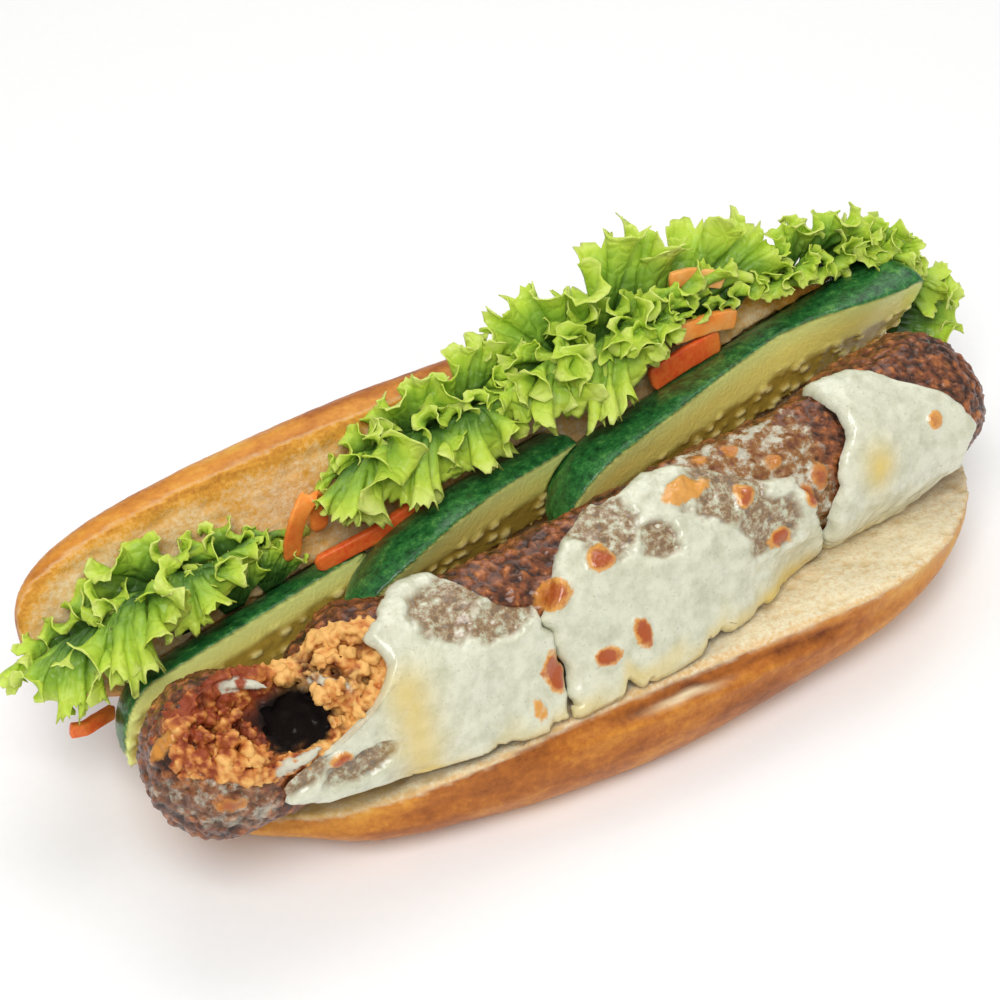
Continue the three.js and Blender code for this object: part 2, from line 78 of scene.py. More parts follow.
def ease(low: float, high: float, value: Array) -> Array:
    """Rises smoothly from 0 at low to 1 at high.

    Args:
        low: Where the rise starts. It may be above high, for a fall.
        high: Where the rise ends.
        value: Where it is read.

    Returns:
        Shares from 0 to 1.
    """
    t = np.clip((value - low) / (high - low), 0.0, 1.0)
    return t * t * (3.0 - 2.0 * t)


def hill(value: Array, middle: float, width: float) -> Array:
    """Returns 1 where the value is at the middle, falling smoothly to nothing some widths away."""
    return np.exp(-(((value - middle) / width) ** 2))


def unit(vectors: Array) -> Array:
    """Returns the vectors at length one."""
    return vectors / np.maximum(np.linalg.norm(vectors, axis=-1, keepdims=True), 1e-9)


def neighbours(knots: Array, before: Array, after: Array, share: Array) -> tuple:
    """Finds the four knots round each place on a line of evenly spaced knots.

    Args:
        knots: The line's knots.
        before: A knot to set before the first.
        after: A knot to set after the last.
        share: Places from 0 to 1.

    Returns:
        How far each place is from its second knot to its third, and the four knots.
    """
    last = len(knots) - 1
    place = np.clip(np.asarray(share, float), 0, 1) * last
    i = np.minimum(place.astype(int), last - 1)
    padded = np.concatenate([[before], knots, [after]])
    return place - i, [padded[i + k] for k in range(4)]


def cubic(p1: Array, p2: Array, t1: Array, t2: Array, w: Array) -> Array:
    """Returns the cubic curve from p1 to p2 that starts along t1 and ends along t2, at the share w."""
    return p1 + t1 * w + (3 * (p2 - p1) - 2 * t1 - t2) * w**2 + (2 * (p1 - p2) + t1 + t2) * w**3


def curve_through(points: list, share: Array) -> Array:
    """A smooth curve through points in space, with spacing-aware tangents.

    Args:
        points: The points the curve passes through, as [x, y, z].
        share: Places along it from 0 to 1, equal steps from point to point.

    Returns:
        One point for each place.
    """
    knots = np.array(points, float)
    w, (p0, p1, p2, p3) = neighbours(knots, 2 * knots[0] - knots[1], 2 * knots[-1] - knots[-2], share)
    steps = [np.sqrt(np.linalg.norm(b - a, axis=1))[:, None] for a, b in ((p0, p1), (p1, p2), (p2, p3))]
    d1 = np.where(steps[1] < 1e-4, 1.0, steps[1])
    d0 = np.where(steps[0] < 1e-4, d1, steps[0])
    d2 = np.where(steps[2] < 1e-4, d1, steps[2])
    t1 = ((p1 - p0) / d0 - (p2 - p0) / (d0 + d1) + (p2 - p1) / d1) * d1
    t2 = ((p2 - p1) / d1 - (p3 - p1) / (d1 + d2) + (p3 - p2) / d2) * d1
    return cubic(p1, p2, t1, t2, w[:, None])


def smooth_table(values: list, share: Array) -> Array:
    """Returns a table of evenly spaced values, read as a smooth line at shares of its length."""
    knots = np.array(values, float)
    w, (p0, p1, p2, p3) = neighbours(knots, knots[0], knots[-1], share)
    return cubic(p1, p2, (p2 - p0) / 2, (p3 - p1) / 2, w)


class Noise:
    """Seeded noise over points in space."""

    def __init__(self, seed: int) -> None:
        """Draws the tables of one seed."""
        draw = np.random.default_rng(seed)
        self.gradients = unit(draw.normal(size=(1024, 3)))
        self.jitter = draw.random((1024, 3))
        self.offset = draw.uniform(0, 500, 3)

    @staticmethod
    def pick(cells: Array) -> Array:
        """Returns a table index for each whole-numbered cell."""
        mixed = cells[..., 0] * 73856093 ^ cells[..., 1] * 19349663 ^ cells[..., 2] * 83492791
        mixed = (mixed ^ (mixed >> 13)) * 1274126177
        return (mixed ^ (mixed >> 16)) & 1023

    def soft(self, points: Array, size: float) -> Array:
        """Rolling noise from about -1 to 1.

        Args:
            points: Where it is read, in millimetres.
            size: Distance from one swell to the next, in millimetres.

        Returns:
            One value for each point.
        """
        placed = points / size + self.offset
        cell = np.floor(placed).astype(np.int64)
        inside = placed - cell
        blend = inside**3 * (inside * (inside * 6 - 15) + 10)
        total = np.zeros(len(points))
        for corner in np.ndindex(2, 2, 2):
            shift = np.array(corner)
            slope = self.gradients[self.pick(cell + shift)]
            weight = np.prod(np.where(shift, blend, 1 - blend), axis=1)
            total += weight * np.sum(slope * (inside - shift), axis=1)
        return 1.7 * total

    def rough(self, points: Array, size: float, layers: int = 4, keep: float = 0.5) -> Array:
        """Layers of rolling noise, each half as wide as the last.

        Args:
            points: Where it is read, in millimetres.
            size: Width of the widest layer, in millimetres.
            layers: How many layers.
            keep: Height of each layer against the last.

        Returns:
            One value for each point, from about -1 to 1.
        """
        total = np.zeros(len(points))
        for k in range(layers):
            total += keep**k * self.soft(points + 37.0 * k, size / 2**k)
        return total / sum(keep**k for k in range(layers))

    def cells(self, points: Array, size: float) -> tuple:
        """Distances to scattered seeds, one in each cell of a grid.

        Args:
            points: Where it is read, in millimetres.
            size: Cell size in millimetres.

        Returns:
            The distance to the nearest seed and to the next, in cells, and a share for each seed.
        """
        placed = points / size + self.offset
        cell = np.floor(placed).astype(np.int64)
        near = np.full(len(points), 9.0)
        second = np.full(len(points), 9.0)
        share = np.zeros(len(points))
        for corner in np.ndindex(3, 3, 3):
            home = cell + np.array(corner) - 1
            index = self.pick(home)
            away = np.linalg.norm(home + self.jitter[index] - placed, axis=1)
            closer = away < near
            second = np.where(closer, near, np.minimum(second, away))
            share = np.where(closer, self.jitter[index][:, 0] * 7.3 % 1.0, share)
            near = np.where(closer, away, near)
        return near, second, share


# ---------------------------------------------------------------- meshes
@dataclass
class Shell:
    """A closed mesh in millimetres, with paint masks on its points.

    Attributes:
        points: Corner points, one row each.
        faces: Four corner numbers a face.
        masks: Values from 0 to 1 at the points, by name, which the finishes read.
    """

    points: Array
    faces: Array
    masks: dict = field(default_factory=dict)

    def normals(self) -> Array:
        """Returns the outward direction at each point."""
        p = self.points[self.faces]
        face = np.cross(p[:, 2] - p[:, 0], p[:, 3] - p[:, 1])
        total = np.zeros_like(self.points)
        for corner in range(4):
            for axis in range(3):
                total[:, axis] += np.bincount(
                    self.faces[:, corner], weights=face[:, axis], minlength=len(self.points)
                )
        return unit(total)

    def volume(self) -> float:
        """Returns the signed volume: it is negative where the faces look inward."""
        a, b, c, d = (self.points[self.faces[:, k]] for k in range(4))
        return float(np.sum(a * (np.cross(b, c) + np.cross(c, d))) / 6)

    def face_out(self) -> "Shell":
        """Turns the faces outward and returns the shell."""
        if self.volume() < 0:
            self.faces = self.faces[:, ::-1].copy()
        return self

    def keep_largest(self) -> "Shell":
        """Drops everything that isn't joined to the largest piece, and returns the shell."""
        label = np.arange(len(self.points))
        starts = self.faces.ravel()
        ends = np.roll(self.faces, -1, axis=1).ravel()
        while True:
            lowest = np.minimum(label[starts], label[ends])
            changed = label.copy()
            np.minimum.at(changed, starts, lowest)
            np.minimum.at(changed, ends, lowest)
            changed = changed[changed]
            if np.array_equal(changed, label):
                break
            label = changed
        main = np.bincount(label).argmax()
        kept = label == main
        number = np.cumsum(kept) - 1
        self.faces = number[self.faces[kept[self.faces[:, 0]]]]
        self.points = self.points[kept]
        self.masks = {name: mask[kept] for name, mask in self.masks.items()}
        return self

    def to_object(self, name: str) -> bpy.types.Object:
        """Makes the Blender object.

        Args:
            name: The piece's name.

        Returns:
            The object, smooth shaded, at the origin.
        """
        mesh = bpy.data.meshes.new(name)
        count = len(self.faces)
        mesh.vertices.add(len(self.points))
        mesh.vertices.foreach_set("co", (self.points * MM).astype(np.float32).ravel())
        mesh.loops.add(4 * count)
        mesh.loops.foreach_set("vertex_index", self.faces.astype(np.int32).ravel())
        mesh.polygons.add(count)
        mesh.polygons.foreach_set("loop_start", np.arange(0, 4 * count, 4, dtype=np.int32))
        mesh.polygons.foreach_set("use_smooth", np.ones(count, bool))
        mesh.update(calc_edges=True)
        for mask, values in self.masks.items():
            layer = mesh.attributes.new(mask, "FLOAT", "POINT")
            layer.data.foreach_set("value", np.clip(values, 0, 1).astype(np.float32))
        piece = bpy.data.objects.new(name, mesh)
        bpy.context.scene.collection.objects.link(piece)
        return piece


@dataclass
class Block:
    """A block of space cut into even cells, in which solids are added and cut as distances.

    Attributes:
        low: Lowest corner.
        high: Highest corner.
        step: Cell size.
    """

    low: tuple
    high: tuple
    step: float

    def __post_init__(self) -> None:
        """Counts the cells."""
        self.low = np.array(self.low, float)
        self.shape = tuple(np.ceil((np.array(self.high) - self.low) / self.step).astype(int) + 1)

    def axes(self) -> list:
        """Returns x, y and z of the cells, each ready to spread over the block."""
        return [
            (self.low[k] + self.step * np.arange(n, dtype=np.float32)).reshape(
                [-1 if k == j else 1 for j in range(3)]
            )
            for k, n in enumerate(self.shape)
        ]

    def distance_to(self, rings: Array, band: float) -> Array:
        """Distances from the skin over a row of rings, closed at both ends.

        Args:
            rings: Points as [ring, place on the ring, 3].
            band: How far from the skin distances are told apart.

        Returns:
            Distances, negative inside.
        """
        count = rings.shape[1]
        ends = [rings[0].mean(0), rings[-1].mean(0)]
        points = np.vstack([rings.reshape(-1, 3), ends])
        a = np.arange(count)
        b = (a + 1) % count
        quads = np.vstack([np.stack([a, b, b + count, a + count], 1) + r * count for r in range(len(rings) - 1)])
        last = (len(rings) - 1) * count
        tips = np.vstack([
            np.stack([b, a, np.full(count, len(points) - 2)], 1),
            np.stack([a + last, b + last, np.full(count, len(points) - 1)], 1),
        ])
        grid = vdb.FloatGrid.createLevelSetFromPolygons(
            ((points - self.low) / self.step).astype(np.float32),
            triangles=tips.astype(np.uint32),
            quads=quads.astype(np.uint32),
            transform=vdb.createLinearTransform(voxelSize=1.0),
            halfWidth=band / self.step,
        )
        values = np.zeros(self.shape, np.float32)
        grid.copyToArray(values, ijk=(0, 0, 0))
        return values * self.step

    def skin(self, distance: Array) -> Shell:
        """Returns the shell where the distance is zero."""
        reach = 3.0 * self.step
        grid = vdb.FloatGrid(reach)
        grid.copyFromArray(np.ascontiguousarray(np.clip(distance, -reach, reach), dtype=np.float32))
        points, _, quads = grid.convertToPolygons(isovalue=0.0, adaptivity=0.0)
        shell = Shell(self.low + points.astype(float) * self.step, quads.astype(np.int64))
        return shell.face_out().keep_largest()


def soft_join(a: Array, b: Array, blend: float) -> Array:
    """Joins two solids with a fillet.

    Args:
        a: Distances of the first.
        b: Distances of the second.
        blend: Width of the fillet.

    Returns:
        Distances of the joined solid.
    """
    share = np.clip(0.5 + 0.5 * (b - a) / blend, 0, 1)
    return b + (a - b) * share - blend * share * (1 - share)


def closed_sheet(low: Array, high: Array) -> Shell:
    """Closes two faces over the same grid of columns and rows into one thin solid.

    Args:
        low: Points of one face as [column, row, 3].
        high: Points of the other.

    Returns:
        The closed shell. Its points run over low and then over high.
    """
    columns, rows = low.shape[:2]
    number = np.arange(columns * rows).reshape(columns, rows)
    quad = np.stack([number[:-1, :-1], number[1:, :-1], number[1:, 1:], number[:-1, 1:]], -1).reshape(-1, 4)
    rim = np.concatenate([number[:, 0], number[-1, 1:], number[-2::-1, -1], number[0, -2:0:-1]])
    after = np.roll(rim, -1)
    size = columns * rows
    side = np.stack([rim, after, after + size, rim + size], 1)
    faces = np.vstack([quad + size, quad[:, ::-1], side])
    return Shell(np.vstack([low.reshape(-1, 3), high.reshape(-1, 3)]), faces).face_out()


def grid_normals(surface: Array) -> Array:
    """Returns the directions square to a surface given as [column, row, 3]."""
    return unit(np.cross(np.gradient(surface, axis=0), np.gradient(surface, axis=1)))


# ---------------------------------------------------------------- material tools
def colour(code: str) -> tuple:
    """Turns an sRGB hex colour into linear red, green, blue and alpha."""
    parts = [int(code[k : k + 2], 16) / 255 for k in (1, 3, 5)]
    return tuple(c / 12.92 if c <= 0.04045 else ((c + 0.055) / 1.055) ** 2.4 for c in parts) + (1.0,)


def per_metre(size: float) -> float:
    """Returns how many features of a size in millimetres fit in a metre, as a texture scale."""
    return 1.0 / (size * MM)


class FinishTree:
    """A material in the making.

    Attributes:
        material: The material.
        tree: Its nodes.
        place: Places on the piece, in metres.
        maps: The masks it reads from the mesh and its grains, by name.
    """

    def __init__(self, name: str, masks: tuple, grains: dict) -> None:
        """Starts the material.

        Args:
            name: Its name.
            masks: Names of the masks it reads.
            grains: Size in millimetres, detail and roughness of each noise, by name.
        """
        self.material = bpy.data.materials.new(name)
        self.material.use_nodes = True
        self.tree = self.material.node_tree
        self.tree.nodes.clear()
        self.place = self.add("TexCoord", out="Object")
        self.maps = {mask: self.add("Attribute", out="Fac", attribute_name=mask) for mask in masks}
        for grain, (size, detail, roughness) in grains.items():
            self.maps[grain] = self.add("TexNoise", {
                "Vector": self.place, "Scale": per_metre(size), "Detail": detail, "Roughness": roughness})

    def add(self, kind: str, inputs: tuple = (), stops: tuple = (), out: int = 0, **settings) -> bpy.types.NodeSocket:
        """Adds a node with its settings and links.

        Args:
            kind: The node's type, without its prefix.
            inputs: Values, hex colours or outputs of other nodes, in the sockets' order or by socket.
            stops: Places and hex colours, for a colour ramp.
            out: The output that is wanted, by number or name.
            **settings: The node's own properties.

        Returns:
            That output.
        """
        node = self.tree.nodes.new("ShaderNode" + kind)
        for name, value in settings.items():
            setattr(node, name, value)
        for key, value in inputs.items() if isinstance(inputs, dict) else enumerate(inputs):
            if isinstance(value, bpy.types.NodeSocket):
                self.tree.links.new(value, node.inputs[key])
            else:
                node.inputs[key].default_value = colour(value) if isinstance(value, str) else value
        for k, (place, code) in enumerate(stops):
            element = node.color_ramp.elements[k] if k < 2 else node.color_ramp.elements.new(place)
            element.position, element.color = place, colour(code)
        return node.outputs[out]

    def layers(self, base: bpy.types.NodeSocket, *tops: tuple) -> bpy.types.NodeSocket:
        """Lays colours over one another.

        Args:
            base: The lowest colour.
            *tops: The share and the colour of each layer over it, from the lowest up.

        Returns:
            The colour that is seen.
        """
        for share, top in tops:
            base = self.add("Mix", {0: share, 6: base, 7: top}, out=2, data_type="RGBA")
        return base

    def broken(self, mask: str, grain: str, strength: float, low: float, high: float,
               least: float = 0.0, most: float = 1.0) -> bpy.types.NodeSocket:
        """Reads a mask as a share whose edge is broken up by a grain.

        Args:
            mask: Name of the mask.
            grain: Name of the grain.
            strength: How much of the grain is added to the mask.
            low: Where in their sum the share starts to rise.
            high: Where it stops.
            least: The share before it rises.
            most: The share after it has risen.

        Returns:
            The share.
        """
        total = self.add("Math", (self.maps[grain], strength, self.maps[mask]), operation="MULTIPLY_ADD")
        return self.add("MapRange", (total, low, high, least, most))

    def close(self, base: bpy.types.NodeSocket, relief: tuple, values: dict) -> bpy.types.Material:
        """Gives the material its shader.

        Args:
            base: Its colour.
            relief: Strength, depth in millimetres and height of its fine relief, or nothing.
            values: Values of the shader's other sockets.

        Returns:
            The material.
        """
        if relief:
            strength, depth, height = relief
            bump = self.add("Bump", {"Strength": strength, "Distance": depth * MM, "Height": height})
            values = {"Normal": bump, **values}
        shader = self.add("BsdfPrincipled", {"Base Color": base, "Subsurface Scale": 1.0, **values})
        output = self.tree.nodes.new("ShaderNodeOutputMaterial")
        self.tree.links.new(shader, output.inputs[0])
        return self.material


@dataclass(frozen=True)
class BakedBread:
    """Baked wheat bread: a thin glazed crust over an open, matt crumb."""

    crust_stops: tuple = ((0.0, "#E4B04C"), (0.3, "#D58E35"), (0.6, "#B06624"), (1.0, "#6C3412"))
    crumb: str = "#EFE3C2"
    crumb_shade: str = "#D9BD88"
    toasted: str = "#DEA03C"
    scorched: str = "#A8662A"
    oil: str = "#D8B03A"
    pale: str = "#F0DDB4"

    def material(self) -> bpy.types.Material:
        """Returns the finish."""
        # The glaze browns in flecks 2 mm across over patches of 9 mm, drawn out along the loaf. Crumb
        # is cream with shaded grain of 1.3 mm; its torn walls and the crust's wrinkles are 0.8 mm apart.
        finish = FinishTree("baked_bread", ("crust", "bake_and_shade", "toast", "oil", "pale", "pore"), {
            "flecks": (2.2, 5.0, 0.65), "grain": (1.3, 4.0, 0.6), "fine": (0.8, 3.0, 0.6)})
        add, maps = finish.add, finish.maps
        lengthwise = add("VectorMath", (finish.place, (0.45, 1.0, 1.0)), operation="MULTIPLY")
        patches = add("TexNoise", {"Vector": lengthwise, "Scale": per_metre(9), "Detail": 4.0, "Roughness": 0.6})
        # The crust's baked colour is darkened further with painted shade in the groove under the front rim.
        fleck_bake = add("Math", (maps["flecks"], 0.6, maps["bake_and_shade"]), operation="MULTIPLY_ADD")
        patch_bake = add("Math", (patches, 1.2, fleck_bake), operation="MULTIPLY_ADD")
        centred = add("Math", (patch_bake, 0.79), operation="SUBTRACT")
        crust = finish.layers(add("ValToRGB", (centred,), self.crust_stops), (maps["pale"], self.pale))
        # Pores get painted shade in the crumb's shade colour.
        grain_share = add("MapRange", (maps["grain"], 0.42, 0.72, 0.0, 0.55))
        base = finish.layers(
            self.crumb,
            (add("Math", (grain_share, maps["pore"]), operation="MAXIMUM"), self.crumb_shade),
            (finish.broken("toast", "grain", 0.9, 0.5, 1.25), self.toasted),
            (finish.broken("toast", "grain", 0.9, 1.2, 1.6, most=0.8), self.scorched),
            (maps["oil"], self.oil),
            (maps["crust"], crust),
        )
        sheen = add("MapRange", (maps["crust"], 0.0, 1.0, 0.9, 0.42))
        depth = add("MapRange", (maps["crust"], 0.0, 1.0, 1.0, 0.3))
        height = add("Math", (maps["fine"], depth), operation="MULTIPLY")
        return finish.close(base, (0.6, 0.6, height), {
            "Roughness": sheen, "IOR": 1.45, "Specular IOR Level": 0.3,
            "Subsurface Weight": 0.06, "Subsurface Radius": (0.002, 0.0012, 0.0006)})


@dataclass(frozen=True)
class GrilledMince:
    """Grilled minced meat: browned coarse grain, wet with fat, torn open and crumbly inside."""

    dark: str = "#24100A"
    brown: str = "#7A4220"
    warm: str = "#C47A3C"
    film: str = "#D2CEB8"
    grease: str = "#9C6C34"
    orange: str = "#DE9638"
    char: str = "#A84A1C"
    crumb_light: str = "#F4BC6C"
    crumb_mid: str = "#D2843E"
    crumb_red: str = "#96401F"
    # Painted shade, near black, in the deep hole and the low places between torn crumbs.
    hollow_shade: str = "#170C07"

    def material(self) -> bpy.types.Material:
        """Returns the finish."""
        # Grains of mince are 3 mm across and unevenly charred over 9 mm. Fat dries on them in flakes
        # of 4 mm, wet patches are 6 mm wide, and the surface is pitted every 0.9 mm.
        finish = FinishTree("grilled_mince", ("torn", "tone", "hollow_shade", "film", "orange", "char", "relief", "curd"), {
            "grain": (3.0, 6.0, 0.7), "charred": (9.0, 3.0, 0.6), "flakes": (4.0, 5.0, 0.65),
            "wet": (6.0, 2.0, 0.5), "fine": (0.9, 4.0, 0.7)})
        add, maps = finish.add, finish.maps
        browned = add("ValToRGB", (maps["grain"],), ((0.3, self.dark), (0.52, self.brown), (0.72, self.warm)))
        # Painted light and shade: the relief mask lightens the grain tops and darkens the cracks between them, broken
        # up by the charring.
        lit = finish.broken("relief", "charred", 1.3, 0.75, 1.5, 0.2, 1.5)
        film_share = add("Math", (maps["flakes"], maps["film"]), operation="MULTIPLY")
        film_tone = add("ValToRGB", (maps["flakes"],), ((0.38, self.brown), (0.49, self.grease), (0.6, self.film)))
        tone = add("Math", (maps["grain"], 0.5, maps["tone"]), operation="MULTIPLY_ADD")
        inside = add("ValToRGB", (tone,), ((0.25, self.crumb_red), (0.5, self.crumb_mid), (0.85, self.crumb_light)))
        base = finish.layers(
            add("VectorMath", {0: browned, "Scale": lit}, operation="SCALE"),
            (add("MapRange", (film_share, 0.2, 0.42, 0.0, 0.92)), film_tone),
            (finish.broken("orange", "grain", 1.3, 1.0, 1.5, most=0.95),
             finish.layers(self.orange, (maps["char"], self.char))),
            (maps["torn"], finish.layers(inside, (maps["hollow_shade"], self.hollow_shade))),
            (maps["curd"], self.film),
        )
        damp = add("MapRange", (maps["wet"], 0.35, 0.65, 0.22, 0.55))
        # Fat glazes the outside; the torn crumbs are drier.
        glaze = add("MapRange", (maps["torn"], 0.0, 1.0, 0.5, 0.12))
        return finish.close(base, (0.8, 0.7, maps["fine"]), {
            "Roughness": add("Math", (damp, maps["hollow_shade"]), operation="MAXIMUM"), "IOR": 1.45,
            "Specular IOR Level": 0.35, "Coat Weight": glaze, "Coat Roughness": 0.12})


@dataclass(frozen=True)
class MeltedCheese:
    """Melted white cheese: smooth, wet with oil, browned in blisters, see-through where thin."""

    body: str = "#DDDDC6"
    shade: str = "#C2C3A8"
    speck: str = "#8E8B70"
    oil: str = "#DDBE4E"
    blister: str = "#DC9A3C"
    burnt: str = "#A94A1B"
    beneath: str = "#8C6536"
    beneath_dark: str = "#4A2C1B"

    def material(self) -> bpy.types.Material:
        """Returns the finish."""
        # Milk fat curdles in clouds 5 mm wide with grey specks of 0.9 mm. Where the sheet is thin the
        # mince shows through in grains of 2.4 mm. Blisters are golden, with a redder brown middle.
        finish = FinishTree("melted_cheese", ("blister", "thin", "oil", "burnt"), {
            "clouds": (5.0, 5.0, 0.6), "specks": (0.9, 3.0, 0.7), "grain": (2.4, 5.0, 0.7), "flecks": (1.8, 4.0, 0.65)})
        add, maps = finish.add, finish.maps
        seen = add("ValToRGB", (maps["grain"],), (
            (0.34, self.beneath_dark), (0.48, self.beneath), (0.63, self.shade), (0.75, self.body)))
        base = finish.layers(
            self.body,
            (add("MapRange", (maps["clouds"], 0.4, 0.7)), self.shade),
            (add("MapRange", (maps["specks"], 0.6, 0.74, 0.0, 0.5)), self.speck),
            (finish.broken("thin", "grain", 1.0, 0.75, 1.4, most=0.9), seen),
            (maps["oil"], self.oil),
            (finish.broken("blister", "flecks", 0.9, 0.7, 1.0, most=0.95), self.blister),
            (finish.broken("burnt", "flecks", 1.1, 0.72, 1.2, most=0.95), self.burnt),
        )
        # Ripples of the clouds under the fine grain of the specks break up the oily shine.
        ripple = add("Math", (maps["clouds"], 2.0, maps["specks"]), operation="MULTIPLY_ADD")
        return finish.close(base, (0.45, 0.5, ripple), {
            "Roughness": 0.24, "IOR": 1.45, "Specular IOR Level": 0.5, "Coat Weight": 0.6, "Coat Roughness": 0.07,
            "Subsurface Weight": 0.25, "Subsurface Radius": (0.002, 0.0018, 0.0014)})


@dataclass(frozen=True)
class FreshCucumber:
    """Fresh cucumber: waxy mottled skin, wet pale flesh and a seed bed in clear jelly."""

    skin_dark: str = "#133D1C"
    skin: str = "#2C7034"
    skin_light: str = "#74A850"
    flesh_outer: str = "#E6EC8E"
    flesh: str = "#F4E67A"
    bed: str = "#AA8E38"
    seed: str = "#E6D58A"

    def material(self) -> bpy.types.Material:
        """Returns the finish."""
        # The skin is mottled in streaks of 3 mm with far finer pale flecks. The bed is veined every
        # 4 mm, and skin and flesh are pitted every 1.1 mm.
        finish = FinishTree("fresh_cucumber", ("skin", "core", "seed", "rind"), {
            "streaks": (3.0, 7.0, 0.82), "veins": (4.0, 3.0, 0.6), "fine": (1.1, 3.0, 0.6)})
        maps = finish.maps
        skin = finish.add("ValToRGB", (maps["streaks"],), (
            (0.38, self.skin_dark), (0.54, self.skin), (0.72, self.skin_light)))
        base = finish.layers(
            self.flesh,
            (finish.broken("core", "veins", 0.35, 0.35, 0.95), self.bed),
            (maps["seed"], self.seed),
            (maps["rind"], self.flesh_outer),
            (maps["skin"], skin),
        )
        return finish.close(base, (0.5, 0.5, maps["fine"]), {
            "Roughness": 0.3, "IOR": 1.4, "Specular IOR Level": 0.5, "Coat Weight": 0.2, "Coat Roughness": 0.2,
            "Subsurface Weight": 0.1, "Subsurface Radius": (0.001, 0.0015, 0.0005)})


@dataclass(frozen=True)
class LeafLettuce:
    """Green leaf lettuce: thin, crisp and veined, pale and yellow at the frilled margin."""

    shade: str = "#2A4A1A"
    deep: str = "#4F7628"
    middle: str = "#90B43A"
    margin: str = "#BAD446"
    rim: str = "#D2E276"

    def material(self) -> bpy.types.Material:
        """Returns the finish."""
        # The green varies in patches of 7 mm. Veins branch every 4 mm and lift the blade between them.
        finish = FinishTree("leaf_lettuce", ("edge",), {"patches": (7.0, 4.0, 0.6)})
        add, maps = finish.add, finish.maps
        # Painted shade: towards its hidden base inside the sandwich the blade darkens through deep green to the shade
        # colour.
        shifted = add("Math", (maps["patches"], 0.5, maps["edge"]), operation="MULTIPLY_ADD")
        centred = add("Math", (shifted, 0.25), operation="SUBTRACT")
        blade = add("ValToRGB", (centred,), (
            (0.1, self.shade), (0.35, self.deep), (0.6, self.middle), (0.82, self.margin), (1.0, self.rim)))
        veins = add("TexVoronoi", {"Vector": finish.place, "Scale": per_metre(4.0)},
                    out="Distance", feature="DISTANCE_TO_EDGE")
        return finish.close(blade, (0.5, 0.6, add("MapRange", (veins, 0.0, 0.25))), {
            "Roughness": 0.42, "IOR": 1.4, "Specular IOR Level": 0.45,
            "Subsurface Weight": 0.3, "Subsurface Radius": (0.0012, 0.0018, 0.0004)})


@dataclass(frozen=True)
class FreshCarrot:
    """Fresh carrot cut in strips: wet and orange, redder at the core, with fine fibres."""

    flesh: str = "#FB9A42"
    core: str = "#E44C22"
    pale: str = "#FDBE74"

    def material(self) -> bpy.types.Material:
        """Returns the finish."""
        # Fibres run 1.4 mm apart.
        finish = FinishTree("fresh_carrot", ("tint",), {"fibres": (1.4, 4.0, 0.6)})
        maps = finish.maps
        mixed = finish.add("Math", (maps["fibres"], 0.5, maps["tint"]), operation="MULTIPLY_ADD")
        base = finish.add("ValToRGB", (mixed,), ((0.15, self.core), (0.6, self.flesh), (1.1 / 1.2, self.pale)))
        return finish.close(base, (0.4, 0.3, maps["fibres"]), {
            "Roughness": 0.35, "IOR": 1.4,
            "Subsurface Weight": 0.15, "Subsurface Radius": (0.002, 0.0008, 0.0003)})


def install(shell: Shell, name: str, node: str, slot: Slot, material: bpy.types.Material) -> None:
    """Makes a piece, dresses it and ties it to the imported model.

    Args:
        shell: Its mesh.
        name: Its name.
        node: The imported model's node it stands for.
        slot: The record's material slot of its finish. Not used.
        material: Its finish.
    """
    piece = shell.to_object(name)
    piece.data.materials.append(material)
    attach(piece, "root")
    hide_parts(node)
    LOG.info("%s: %d faces", name, len(shell.faces))


